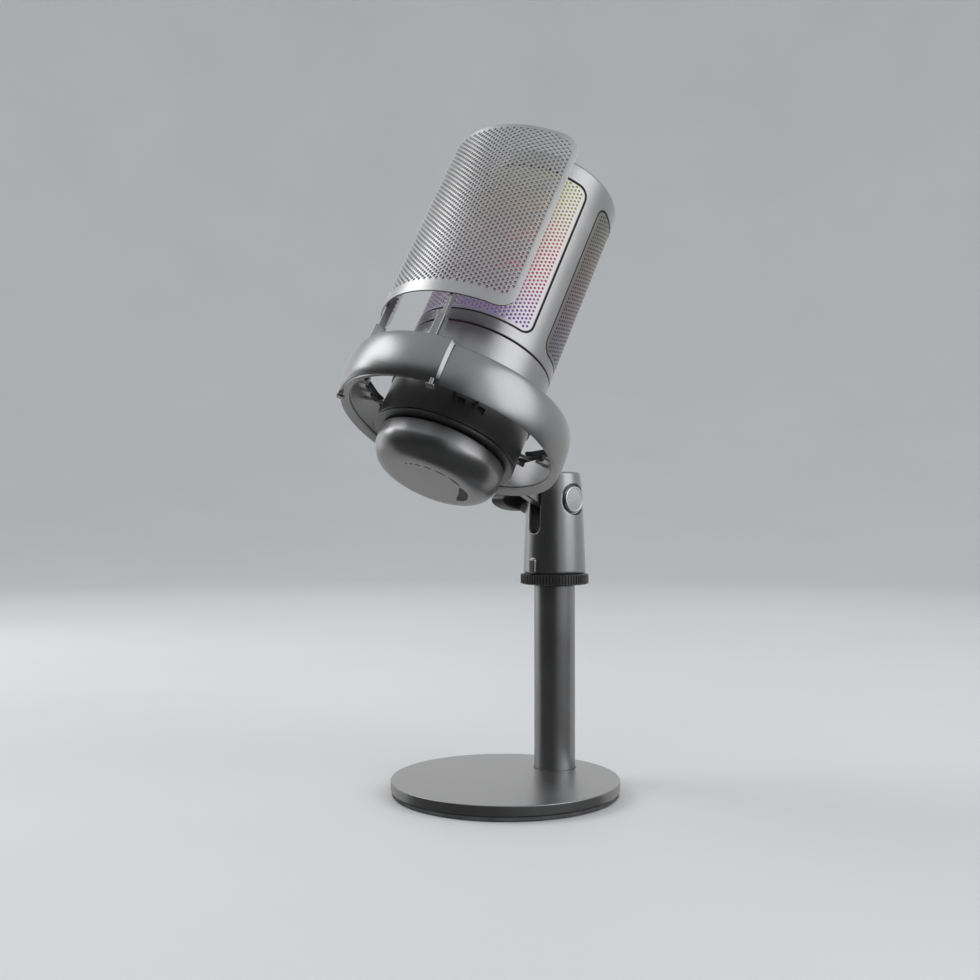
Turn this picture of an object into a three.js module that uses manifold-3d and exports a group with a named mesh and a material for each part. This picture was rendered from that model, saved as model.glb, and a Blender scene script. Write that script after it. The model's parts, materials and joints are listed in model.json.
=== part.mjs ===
// A desktop condenser microphone on a round base: a swivelling fork carries a shock-mount ring,
// elastic cords hang the microphone in the ring, and a perforated pop filter clips onto the ring's
// front. Millimetres, +Z up, the front faces -Y, and the origin is the centre of the base's underside.
import * as THREE from "three";
import { mergeVertices } from "three/addons/utils/BufferGeometryUtils.js";
import Module from "manifold-3d";

const wasm = await Module();
wasm.setup();

// ---- Driving dimensions ----------------------------------------------------------------------

const GAP = 0.3; // running clearance between neighbouring pieces

// Stand. Heights are above the table.
const BASE_RADIUS = 50;
const BASE_TOP = 6.3;
const PAD_THICKNESS = 1.7;
const POLE_RADIUS = 9.3;
const POLE_SET_BACK = 31.4; // from the base's centre towards the back
const POLE_TOP = 89.2;
const STUD_RADIUS = 7.94; // the 5/8 inch microphone thread
const STUD_TOP = 108;
const SCREW_RADIUS = 2.9;
const SCREW_TOP = 22;
const SCREW_HEAD_RADIUS = 6;
const WASHER_RADIUS = 6.4;
const LOCK_RING_RADIUS = 15.5;
const LOCK_RING_HEIGHT = 4.9;
const KNURL_TEETH = 32;

// Fork and its cross bolt.
const FORK_BOTTOM = POLE_TOP + GAP + LOCK_RING_HEIGHT + GAP;
const FORK_BOTTOM_RADIUS = 14.2;
const FORK_TOP_RADIUS = 12.1;
const FORK_TOP = 140.5;
const SLOT_WIDTH = 6.4;
const SLOT_FLOOR = 112.6;
const INSERT_TOP = 109.3;
const PIVOT_WASHER_THICKNESS = 0.5;
const LUG_THICKNESS = SLOT_WIDTH - 2 * (PIVOT_WASHER_THICKNESS + 0.4);
const PIVOT_HEIGHT = 127.9;
const CAP_RADIUS = 5.95;
const WING_HALF_LENGTH = 15;
const WING_HALF_HEIGHT = 5.2;
const WING_NEAR = 17; // distance of the wing's near and far faces from the middle plane
const WING_FAR = 27;

// Microphone. Heights are along its axis, from the seam between head and body; radii are from its axis.
const TILT = THREE.MathUtils.degToRad(28.9); // leaning back
const PIVOT_REACH = 69.1; // from the microphone's axis to the fork's bolt
const RING_MIDDLE = -29.2;
const BODY_RADIUS = 31.5;
const HEAD_TOP = 91.6;
const SEAM_HALF_GAP = 0.35;
const WALL = 1.6;
const FRAME_INNER = BODY_RADIUS - WALL;
const WINDOW_BOTTOM = 5.7;
const WINDOW_TOP = 82.4;
const WINDOW_HALF_ANGLE = 82; // degrees
const WINDOW_CORNER = 5.5;
const COLLAR_BOTTOM = -24;
const CORE_INNER = 27.2;
const CRADLE_RADIUS = 30.8;
const CRADLE_BOTTOM = -42.2;
const BARREL_BOTTOM = -43.9;
const KNOB_TOP = -44.6;
const KNOB_BOTTOM = -59.8;
const KNOB_RADIUS = 27.5;
const KNOB_CORNER = 10.2;
const SHAFT_RADIUS = 3;
const PORT_HEIGHT = -10;
const JACK_ANGLE = 150; // degrees from the front

// Shock-mount ring, its clip and the pop filter.
const RING_CREST_RADIUS = 47.4; // radius of the ring's top edge
const RING_BULGE = 2.1;
const RING_HALF_HEIGHT = 10.3;
const RING_ARC_MIDDLE = -30;
const RING_TOP = RING_ARC_MIDDLE + RING_HALF_HEIGHT;
const RING_LIP_RADIUS = 45.3;
const CREASE_ANGLE = -58.7; // where the bulge ends and the flat lip begins, in degrees
const LINER_INNER = 45;
const LINER_OUTER = 46.2;
const LINER_BOTTOM = -36;
const LINER_TOP = RING_TOP - 0.6;
const CLIP_HALF_ANGLE = 39.8;
const CLIP_TOP = -18.2;
const CLIP_OUTER_RADIUS = 51.4;
const STALK_ANGLE = 26.5;
const STALK_DEPTH = 3.2; // measured along the radius
const STALK_WIDTH = 1.6;
const SOCKET_TOP = -7;
const SCREEN_RADIUS = 47.6;
const SCREEN_THICKNESS = 0.8;
const SCREEN_HALF_ANGLE = 58;
const SCREEN_BOTTOM = 2.7;
const SCREEN_TOP = 90.1;
const SCREEN_CORNER = 8;
const STALK_OUTER = SCREEN_RADIUS - SCREEN_THICKNESS - GAP;
const STALK_BOTTOM = -17.6;

// Elastic suspension: one cord in each of four places round the ring.
const CORD_PLACES = [54, 150, -150, -54]; // degrees from the front
const CORD_RADIUS = 0.7;
const BEND_RADIUS = 1.6;
const RING_BEND = 43.1; // radius where a cord turns round a ring hook
const CRADLE_BEND = 33;
const RING_HOOK_SPREAD = 10; // degrees from the cord's middle to a hook on either side
const CRADLE_HOOK_SPREAD = 8;
const RING_HOOK_HEIGHT = -25.5;
const CRADLE_HOOK_HEIGHT = -31;
const HOOK_WIDTH = 1.2;
const HOOK_THICKNESS = 1.2;
const HOOK_FLOOR_DROP = 1.3; // from the cord's centre line down to the hook's floor
const HOOK_LIP_RISE = 0.9; // from the cord's centre line up to the lip's top

const FINE_ROUND = 40; // facets round the largest turned pieces
const ROUND = 28;
const SMALL_ROUND = 12;

// ---- Materials -------------------------------------------------------------------------------

function finish(color, roughness, metalness) {
  return new THREE.MeshStandardMaterial({ color, roughness, metalness });
}

const gunmetal = finish(0x77777a, 0.42, 0.75);
const silverGrey = finish(0xa2a2a4, 0.4, 0.8);
const blackPlastic = finish(0x1a1a1c, 0.5, 0.05);
const satinKnob = finish(0x5c5d60, 0.38, 0.6);
const bareSteel = finish(0xc9c9cc, 0.25, 1);
const brass = finish(0xb89a4e, 0.3, 1);
const rubber = finish(0x161616, 0.9, 0);
const nylon = finish(0xe6e2d6, 0.6, 0);
const diffuserPlastic = finish(0xf2d9d2, 0.5, 0);
const circuitBoard = finish(0x1f4f35, 0.55, 0.1);
const elastic = finish(0x0f0f10, 0.95, 0);

// ---- Geometry helpers ------------------------------------------------------------------------

function radians(degrees) {
  return THREE.MathUtils.degToRad(degrees);
}

// Points on an elliptical arc, angles in degrees from the first axis.
function arc(centre, radii, from, to, steps) {
  return Array.from({ length: steps + 1 }, (_, i) => {
    const angle = radians(from + ((to - from) * i) / steps);
    return [centre[0] + radii[0] * Math.cos(angle), centre[1] + radii[1] * Math.sin(angle)];
  });
}

// A profile of [radius, height] points, anticlockwise with the radius to the right, turned about +Z.
// A profile that leaves the axis is closed back onto its first point.
function turned(profile, segments = ROUND) {
  const points = profile.map(([radius, height]) => new THREE.Vector2(radius, height));
  const onAxis = points[0].x === 0 && points.at(-1).x === 0;
  const outline = onAxis ? points : [...points, points[0].clone()];
  return new THREE.LatheGeometry(outline, segments).rotateX(Math.PI / 2);
}

function tube(outer, inner, low, high, segments = ROUND) {
  return turned([[inner, low], [outer, low], [outer, high], [inner, high]], segments);
}

function rod(radius, low, high, segments = SMALL_ROUND) {
  return turned([[0, low], [radius, low], [radius, high], [0, high]], segments);
}

function block(size, centre) {
  return new THREE.BoxGeometry(...size).translate(...centre);
}

// A flat outline of [x, y] points, extruded along +Z.
function extruded(outline, low, high) {
  const shape = new THREE.Shape(outline.map(([x, y]) => new THREE.Vector2(x, y)));
  const options = { depth: high - low, bevelEnabled: false };
  return new THREE.ExtrudeGeometry(shape, options).translate(0, 0, low);
}

// Turns a piece made along +Z so that it lies along +X, with its own +X side facing up.
function alongX(geometry) {
  return geometry.rotateY(Math.PI / 2);
}

// Turns a piece made along +Z so that it lies along the radius at an angle from the front.
function alongRadius(geometry, degrees, height) {
  return geometry.rotateX(Math.PI / 2).rotateZ(radians(degrees)).translate(0, 0, height);
}

// A radial block: its depth lies along the radius, at an angle from the front.
function radialBlock(degrees, [inner, outer], width, [low, high]) {
  const size = [width, outer - inner, high - low];
  const centre = [0, -(outer + inner) / 2, (high + low) / 2];
  return block(size, centre).rotateZ(radians(degrees));
}

// A sheet bent round +Z between two radii, with rounded corners, centred on an angle.
function bentSheet({ outer, inner, halfAngle, low, high, corner, middle = 0, steps = 20 }) {
  const half = radians(halfAngle);
  const cornerAngle = corner / outer;
  const cornerSteps = 4;
  const near = arc([0, 0], [1, 1], 0, 90, cornerSteps).map(([cosine]) => 1 - cosine);
  const left = near.map((part) => -half + cornerAngle * part);
  const flat = Array.from({ length: steps - 1 }, (_, i) => {
    return -half + cornerAngle + ((2 * (half - cornerAngle)) * (i + 1)) / steps;
  });
  const angles = [...left, ...flat, ...left.map((angle) => -angle).reverse()];
  const positions = [];
  for (const angle of angles) {
    const inset = Math.max(0, corner - (half - Math.abs(angle)) * outer);
    const rise = corner - Math.sqrt(Math.max(0, corner * corner - inset * inset));
    const sine = Math.sin(angle + radians(middle));
    const cosine = -Math.cos(angle + radians(middle));
    for (const [radius, height] of [
      [inner, low + rise],
      [outer, low + rise],
      [outer, high - rise],
      [inner, high - rise],
    ]) {
      positions.push(radius * sine, radius * cosine, height);
    }
  }
  const faces = [];
  for (let i = 0; i + 1 < angles.length; i += 1) {
    for (let side = 0; side < 4; side += 1) {
      const a = 4 * i + side;
      const b = 4 * i + ((side + 1) % 4);
      faces.push(a, a + 4, b, b, a + 4, b + 4);
    }
  }
  const last = 4 * (angles.length - 1);
  faces.push(0, 1, 2, 0, 2, 3, last, last + 2, last + 1, last, last + 3, last + 2);
  const geometry = new THREE.BufferGeometry();
  geometry.setAttribute("position", new THREE.Float32BufferAttribute(positions, 3));
  geometry.setIndex(faces);
  return geometry;
}

function toSolid(geometry) {
  const bare = new THREE.BufferGeometry();
  bare.setAttribute("position", geometry.getAttribute("position").clone());
  bare.setIndex(geometry.getIndex());
  const merged = mergeVertices(bare, 1e-4);
  const mesh = new wasm.Mesh({
    numProp: 3,
    vertProperties: merged.getAttribute("position").array,
    triVerts: new Uint32Array(merged.getIndex().array),
  });
  return new wasm.Manifold(mesh);
}

function toGeometry(solid) {
  const { vertProperties, triVerts } = solid.getMesh();
  const geometry = new THREE.BufferGeometry();
  geometry.setAttribute("position", new THREE.BufferAttribute(vertProperties, 3));
  geometry.setIndex(new THREE.BufferAttribute(triVerts, 1));
  return geometry;
}

function cut(geometry, ...cutters) {
  return toGeometry(cutters.reduce((solid, cutter) => solid.subtract(toSolid(cutter)), toSolid(geometry)));
}

function joined(geometry, ...others) {
  return toGeometry(others.reduce((solid, other) => solid.add(toSolid(other)), toSolid(geometry)));
}

function common(geometry, other) {
  return toGeometry(toSolid(geometry).intersect(toSolid(other)));
}

function addPiece(group, name, geometry, material) {
  geometry.computeVertexNormals();
  const mesh = new THREE.Mesh(geometry, material);
  mesh.name = name;
  group.add(mesh);
}

// ---- Stand: base, pole and lock ring ---------------------------------------------------------

function buildStand(stand) {
  const plateBottom = PAD_THICKNESS + 0.2;
  const edge = 0.5;
  const poleSeat = BASE_TOP - 0.6;
  const headHeight = 1.5;
  const washerThickness = 0.6;
  const recessTop = plateBottom + headHeight + washerThickness + 0.4;
  const recessRadius = 7;

  const plate = turned([
    [0, plateBottom],
    [BASE_RADIUS - edge, plateBottom],
    [BASE_RADIUS, plateBottom + edge],
    [BASE_RADIUS, BASE_TOP - edge],
    [BASE_RADIUS - edge, BASE_TOP],
    [0, BASE_TOP],
  ], FINE_ROUND);
  const atPole = (geometry) => geometry.translate(0, POLE_SET_BACK, 0);
  const plateCuts = [
    atPole(rod(POLE_RADIUS + GAP, poleSeat, BASE_TOP + 1, ROUND)),
    atPole(rod(SCREW_RADIUS + GAP, 0, BASE_TOP)),
    atPole(rod(recessRadius, 0, recessTop)),
  ];
  addPiece(stand, "base_plate", cut(plate, ...plateCuts), gunmetal);

  const pad = rod(BASE_RADIUS - 0.5, 0, PAD_THICKNESS, FINE_ROUND);
  addPiece(stand, "base_foot_pad", cut(pad, atPole(rod(recessRadius + 1, -1, PAD_THICKNESS + 1))), rubber);

  const headTop = plateBottom + headHeight;
  const screw = turned([
    [0, plateBottom],
    [SCREW_HEAD_RADIUS - 0.6, plateBottom],
    [SCREW_HEAD_RADIUS, plateBottom + 0.6],
    [SCREW_HEAD_RADIUS, headTop],
    [SCREW_RADIUS, headTop],
    [SCREW_RADIUS, SCREW_TOP],
    [0, SCREW_TOP],
  ], SMALL_ROUND);
  const hexagonKey = rod(2, plateBottom - 1, plateBottom + 1, 6);
  addPiece(stand, "base_screw", atPole(cut(screw, hexagonKey)), bareSteel);
  const washerLow = headTop + 0.15;
  const washerHigh = washerLow + washerThickness;
  const washer = tube(WASHER_RADIUS, SCREW_RADIUS + GAP, washerLow, washerHigh, SMALL_ROUND);
  addPiece(stand, "base_washer", atPole(washer), bareSteel);

  // The pole is a tube with a solid foot; its thread stud is hollow like the pole.
  const footTop = 30;
  const boreRadius = 6;
  const pole = turned([
    [SCREW_RADIUS + GAP, poleSeat + GAP],
    [POLE_RADIUS, poleSeat + GAP],
    [POLE_RADIUS, POLE_TOP - 0.6],
    [POLE_RADIUS - 0.6, POLE_TOP],
    [STUD_RADIUS, POLE_TOP],
    [STUD_RADIUS, STUD_TOP - 0.8],
    [STUD_RADIUS - 0.8, STUD_TOP],
    [boreRadius, STUD_TOP],
    [boreRadius, footTop],
    [SCREW_RADIUS + GAP, footTop],
  ]);
  addPiece(stand, "pole", atPole(pole), gunmetal);

  const toothRoot = LOCK_RING_RADIUS - 0.6;
  const toothOutline = Array.from({ length: 4 * KNURL_TEETH }, (_, i) => {
    const radius = i % 4 < 2 ? LOCK_RING_RADIUS : toothRoot;
    const angle = ((i + 0.5) * Math.PI) / (2 * KNURL_TEETH);
    return [radius * Math.cos(angle), radius * Math.sin(angle)];
  });
  const ringLow = POLE_TOP + GAP;
  const ringBody = extruded(toothOutline, ringLow, ringLow + LOCK_RING_HEIGHT);
  const ringHole = rod(STUD_RADIUS + GAP, ringLow - 1, ringLow + LOCK_RING_HEIGHT + 1, ROUND);
  addPiece(stand, "lock_ring", atPole(cut(ringBody, ringHole)), blackPlastic);
}

// ---- Fork, cross bolt and thumb knob ---------------------------------------------------------

function buildFork(fork) {
  const topRound = 1.6;
  const insertRadius = 9.6;
  const waist = [13.25, 121]; // the taper steepens at the waist and again at the shoulder
  const shoulder = [12.75, 132];
  const body = turned([
    [0, FORK_BOTTOM],
    [FORK_BOTTOM_RADIUS - 0.4, FORK_BOTTOM],
    [FORK_BOTTOM_RADIUS, FORK_BOTTOM + 0.4],
    waist,
    shoulder,
    ...arc([FORK_TOP_RADIUS - topRound, FORK_TOP - topRound], [topRound, topRound], 0, 90, 4),
    [0, FORK_TOP],
  ]);
  const tab = block([3.6, 3.2, 6.4], [0, -FORK_BOTTOM_RADIUS + 0.6, FORK_BOTTOM + 3.2]);
  const slotRound = SLOT_WIDTH / 2;
  const slotLow = SLOT_FLOOR + slotRound;
  const slotBox = block([SLOT_WIDTH, 40, 40], [0, 0, slotLow + 20]);
  const slotEnd = rod(slotRound, -20, 20, SMALL_ROUND).rotateX(Math.PI / 2).translate(0, 0, slotLow);
  const boltHole = alongX(rod(SCREW_RADIUS + GAP, -20, 20)).translate(0, 0, PIVOT_HEIGHT);
  const capRecess = alongX(rod(CAP_RADIUS + 1.05, 11, 20, ROUND)).translate(0, 0, PIVOT_HEIGHT);
  const hubRecess = alongX(rod(7, -20, -11.6, ROUND)).translate(0, 0, PIVOT_HEIGHT);
  const insertBore = rod(insertRadius + GAP, 0, INSERT_TOP + GAP, ROUND);
  const cuts = [slotBox, slotEnd, boltHole, capRecess, hubRecess, insertBore];
  addPiece(fork, "swivel_fork", cut(joined(body, tab), ...cuts), gunmetal);

  const insert = tube(insertRadius, STUD_RADIUS + GAP, FORK_BOTTOM + GAP, INSERT_TOP, ROUND);
  addPiece(fork, "fork_thread_insert", insert, brass);

  const capNear = 11.3;
  const capFar = 12.6;
  const bolt = alongX(turned([
    [0, -25.5],
    [SCREW_RADIUS - 0.4, -25.5],
    [SCREW_RADIUS, -25.1],
    [SCREW_RADIUS, capNear],
    [CAP_RADIUS, capNear],
    [CAP_RADIUS, capFar - 0.5],
    [CAP_RADIUS - 0.5, capFar],
    [0, capFar + 0.3],
  ], ROUND));
  addPiece(fork, "pivot_bolt", bolt.translate(0, 0, PIVOT_HEIGHT), bareSteel);

  const washerNear = LUG_THICKNESS / 2 + 0.2;
  for (const [side, name] of [[1, "pivot_washer_right"], [-1, "pivot_washer_left"]]) {
    const low = side > 0 ? washerNear : -washerNear - PIVOT_WASHER_THICKNESS;
    const high = low + PIVOT_WASHER_THICKNESS;
    const washer = tube(WASHER_RADIUS, SCREW_RADIUS + GAP, low, high, SMALL_ROUND);
    addPiece(fork, name, alongX(washer).translate(0, 0, PIVOT_HEIGHT), nylon);
  }
}

// The wing is a flat lens across the bolt, so that a thumb can turn it.
function buildThumbKnob(fork) {
  const insertRadius = 4.6;
  const blindEnd = WING_FAR - 1.2;
  const tip = 2.2;
  const upper = arc([0, 0], [WING_HALF_LENGTH, WING_HALF_HEIGHT], 0, 180, 14);
  const outline = [...upper, ...upper.slice(1, -1).map(([along, across]) => [-along, -across])];
  const wing = extruded(outline.map(([along, across]) => [across, along]), -WING_FAR + tip, -WING_NEAR);
  const shrink = 0.86;
  const endOutline = outline.map(([along, across]) => [across * shrink, along * shrink]);
  const end = extruded(endOutline, -WING_FAR, -WING_FAR + tip + 0.5);
  const hub = rod(6.5, -WING_NEAR - 1, -12, ROUND);
  const bore = rod(insertRadius + GAP, -blindEnd - GAP, 0);
  const knob = alongX(cut(joined(wing, end, hub), bore));
  addPiece(fork, "thumb_knob", knob.translate(0, 0, PIVOT_HEIGHT), blackPlastic);
  const insert = tube(insertRadius, SCREW_RADIUS + GAP, -blindEnd, -12.4, SMALL_ROUND);
  addPiece(fork, "thumb_knob_insert", alongX(insert).translate(0, 0, PIVOT_HEIGHT), brass);
}

// ---- Shock-mount ring ------------------------------------------------------------------------

function ringArc(extra, from, to, steps) {
  const radii = [RING_BULGE + extra, RING_HALF_HEIGHT + extra];
  return arc([RING_CREST_RADIUS, RING_ARC_MIDDLE], radii, from, to, steps);
}

function buildRing(ring) {
  const shellInner = LINER_OUTER + GAP;
  const shell = turned([
    ...ringArc(0, CREASE_ANGLE, 90, 7),
    [shellInner, RING_TOP - 0.3],
    [shellInner, LINER_BOTTOM - GAP],
    [RING_LIP_RADIUS, LINER_BOTTOM - GAP],
    [RING_LIP_RADIUS, LINER_BOTTOM - 1.2],
  ], FINE_ROUND);

  // The lug lies in the microphone's middle plane and reaches back into the fork's slot.
  const lugEnd = 7.2;
  const rootHalf = RING_HALF_HEIGHT - 1.6;
  const root = RING_CREST_RADIUS - 0.3;
  const lugOutline = [
    [root, RING_MIDDLE - rootHalf],
    ...arc([PIVOT_REACH, RING_MIDDLE], [lugEnd, lugEnd], -80, 80, 10),
    [root, RING_MIDDLE + rootHalf],
  ];
  const lugPlate = (outline, thickness) => {
    const plate = extruded(outline, -thickness / 2, thickness / 2);
    return plate.rotateX(Math.PI / 2).rotateZ(Math.PI / 2);
  };
  const gusset = [
    [root, RING_MIDDLE - rootHalf],
    [root + 3.4, RING_MIDDLE - rootHalf + 1.5],
    [root + 3.4, RING_MIDDLE + rootHalf - 1.5],
    [root, RING_MIDDLE + rootHalf],
  ];
  const pivotHole = alongX(rod(SCREW_RADIUS + GAP, -10, 10)).translate(0, PIVOT_REACH, RING_MIDDLE);
  const lug = joined(lugPlate(lugOutline, LUG_THICKNESS), lugPlate(gusset, 8));
  addPiece(ring, "shock_ring", cut(joined(shell, lug), pivotHole), gunmetal);

  const linerBand = tube(LINER_OUTER, LINER_INNER, LINER_BOTTOM, LINER_TOP, FINE_ROUND);
  const hooks = CORD_PLACES.flatMap((place) => {
    return [-RING_HOOK_SPREAD, 0, RING_HOOK_SPREAD].map((offset) => ringHook(place + offset));
  });
  addPiece(ring, "ring_liner", joined(linerBand, ...hooks.flat()), silverGrey);
}

// Each hook is a floor under the cord and a lip inside the cord's bend.
function hook(degrees, cordHeight, floorDepth, lipDepth) {
  const floorTop = cordHeight - HOOK_FLOOR_DROP;
  const floorBottom = floorTop - HOOK_THICKNESS;
  return [
    radialBlock(degrees, floorDepth, HOOK_WIDTH, [floorBottom, floorTop]),
    radialBlock(degrees, lipDepth, HOOK_WIDTH, [floorBottom, cordHeight + HOOK_LIP_RISE]),
  ];
}

function ringHook(degrees) {
  const lip = [RING_BEND - 2.6, RING_BEND - 1.2];
  return hook(degrees, RING_HOOK_HEIGHT, [lip[0], LINER_INNER + 0.4], lip);
}

function cradleHook(degrees) {
  const lip = [CRADLE_BEND + 1.2, CRADLE_BEND + 2.6];
  return hook(degrees, CRADLE_HOOK_HEIGHT, [CRADLE_RADIUS - 0.6, lip[1]], lip);
}

// ---- Elastic cords: each zigzags between three ring hooks and two cradle hooks ----------------

function polar(degrees, radius, height) {
  const angle = radians(degrees);
  return new THREE.Vector3(radius * Math.sin(angle), -radius * Math.cos(angle), height);
}

// Three points of a cord's turn round a hook; outward is +1 at the ring and -1 at the cradle.
function bend(degrees, radius, height, outward) {
  const sideways = THREE.MathUtils.radToDeg(BEND_RADIUS / radius);
  return [
    polar(degrees - sideways, radius - outward * BEND_RADIUS * 0.9, height),
    polar(degrees, radius, height),
    polar(degrees + sideways, radius - outward * BEND_RADIUS * 0.9, height),
  ];
}

function buildCords(ring) {
  const section = new THREE.Shape(
    arc([0, 0], [CORD_RADIUS, CORD_RADIUS], 0, 360 - 60, 5).map(([x, y]) => new THREE.Vector2(x, y)),
  );
  CORD_PLACES.forEach((place, i) => {
    const points = [
      ...bend(place - RING_HOOK_SPREAD, RING_BEND, RING_HOOK_HEIGHT, 1),
      ...bend(place - CRADLE_HOOK_SPREAD, CRADLE_BEND, CRADLE_HOOK_HEIGHT, -1),
      ...bend(place, RING_BEND, RING_HOOK_HEIGHT, 1),
      ...bend(place + CRADLE_HOOK_SPREAD, CRADLE_BEND, CRADLE_HOOK_HEIGHT, -1),
      ...bend(place + RING_HOOK_SPREAD, RING_BEND, RING_HOOK_HEIGHT, 1),
    ];
    const route = new THREE.CatmullRomCurve3(points, false, "centripetal");
    const options = { extrudePath: route, steps: 32, bevelEnabled: false };
    addPiece(ring, `elastic_cord_${i + 1}`, new THREE.ExtrudeGeometry(section, options), elastic);
  });
}

// ---- Pop filter and the clip that holds it ---------------------------------------------------

function buildFilterClip(ring) {
  const wrapInner = RING_CREST_RADIUS - 0.9;
  const topOuter = CLIP_OUTER_RADIUS - 2.3;
  const outerMiddle = -28;
  const outerHalf = CLIP_TOP - outerMiddle;
  const bandFull = turned([
    ...arc([topOuter, outerMiddle], [CLIP_OUTER_RADIUS - topOuter, outerHalf], -80, 90, 7),
    [wrapInner, CLIP_TOP],
    [wrapInner, RING_TOP + GAP],
    ...ringArc(GAP, 90, CREASE_ANGLE + 8, 6),
  ], FINE_ROUND);
  const sector = bentSheet({
    outer: CLIP_OUTER_RADIUS + 4,
    inner: 30,
    halfAngle: CLIP_HALF_ANGLE,
    low: -45,
    high: -10,
    corner: 0.01,
  });
  const socketOuter = STALK_OUTER + 1.1;
  const socketInner = STALK_OUTER - STALK_DEPTH - 0.7;
  const hookWidth = 3.6;
  const additions = [];
  const bores = [];
  for (const side of [-1, 1]) {
    const angle = side * STALK_ANGLE;
    additions.push(radialBlock(angle, [socketInner, socketOuter], 3.4, [RING_TOP + 0.5, SOCKET_TOP]));
    const bore = [STALK_OUTER - STALK_DEPTH - GAP, STALK_OUTER + GAP];
    bores.push(radialBlock(angle, bore, STALK_WIDTH + 2 * GAP, [STALK_BOTTOM - GAP, SOCKET_TOP + 1]));
    const hookAngle = side * (CLIP_HALF_ANGLE - 3);
    const hookOuter = RING_CREST_RADIUS + 2.7;
    const hookLow = RING_MIDDLE - 11.2;
    const floorDepth = [RING_CREST_RADIUS - 1, hookOuter];
    additions.push(radialBlock(hookAngle, floorDepth, hookWidth, [hookLow, hookLow + 1.2]));
    additions.push(radialBlock(hookAngle, [hookOuter - 1, hookOuter], hookWidth, [hookLow, hookLow + 4.4]));
  }
  const band = common(bandFull, sector);
  addPiece(ring, "filter_clip", cut(joined(band, ...additions), ...bores), gunmetal);
}

function buildPopFilter(filter) {
  const screen = bentSheet({
    outer: SCREEN_RADIUS,
    inner: SCREEN_RADIUS - SCREEN_THICKNESS,
    halfAngle: SCREEN_HALF_ANGLE,
    low: SCREEN_BOTTOM,
    high: SCREEN_TOP,
    corner: SCREEN_CORNER,
    steps: 22,
  });
  addPiece(filter, "pop_filter_screen", screen, silverGrey);
  const stalkTop = SCREEN_BOTTOM + 6;
  for (const [side, name] of [[1, "filter_stalk_right"], [-1, "filter_stalk_left"]]) {
    const depth = [STALK_OUTER - STALK_DEPTH, STALK_OUTER];
    const stalk = radialBlock(side * STALK_ANGLE, depth, STALK_WIDTH, [STALK_BOTTOM, stalkTop]);
    addPiece(filter, name, stalk, silverGrey);
  }
}

// ---- Microphone head -------------------------------------------------------------------------

function windowSheet(margin, inner, outer, middle) {
  return bentSheet({
    outer,
    inner,
    halfAngle: WINDOW_HALF_ANGLE - THREE.MathUtils.radToDeg(margin / BODY_RADIUS),
    low: WINDOW_BOTTOM + margin,
    high: WINDOW_TOP - margin,
    corner: WINDOW_CORNER - margin,
    middle,
    steps: 22,
  });
}

function buildHead(mic) {
  const capRadius = 28.6;
  const capSeat = HEAD_TOP - 1.8;
  const edgeRound = 2;
  const frame = turned([
    [FRAME_INNER, SEAM_HALF_GAP],
    [BODY_RADIUS, SEAM_HALF_GAP],
    ...arc([BODY_RADIUS - edgeRound, HEAD_TOP - edgeRound], [edgeRound, edgeRound], 0, 90, 4),
    [capRadius + GAP, HEAD_TOP],
    [capRadius + GAP, capSeat],
    [capRadius - 3, capSeat],
    [capRadius - 3, capSeat - WALL],
    [FRAME_INNER, capSeat - WALL],
  ], FINE_ROUND);
  const cutters = [0, 180].map((middle) => windowSheet(0, FRAME_INNER - 2, BODY_RADIUS + 2, middle));
  addPiece(mic, "head_frame", cut(frame, ...cutters), silverGrey);

  const grooveWidth = 0.5;
  const grilleInner = BODY_RADIUS - 1.3;
  const grilleOuter = BODY_RADIUS - 0.2;
  for (const [middle, name] of [[0, "grille_front"], [180, "grille_back"]]) {
    addPiece(mic, name, windowSheet(grooveWidth, grilleInner, grilleOuter, middle), silverGrey);
  }

  const cap = turned([
    [0, capSeat + GAP],
    [capRadius, capSeat + GAP],
    [capRadius, HEAD_TOP - 0.6],
    [capRadius - 0.4, HEAD_TOP - 0.2],
    [0, HEAD_TOP - 0.2],
  ]);
  addPiece(mic, "top_cap", cap, blackPlastic);

  const diffuserOuter = grilleInner - 0.8;
  const diffuser = tube(diffuserOuter, diffuserOuter - 1.4, 2, capSeat - WALL - 0.5);
  addPiece(mic, "light_diffuser", diffuser, diffuserPlastic);
}

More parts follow.
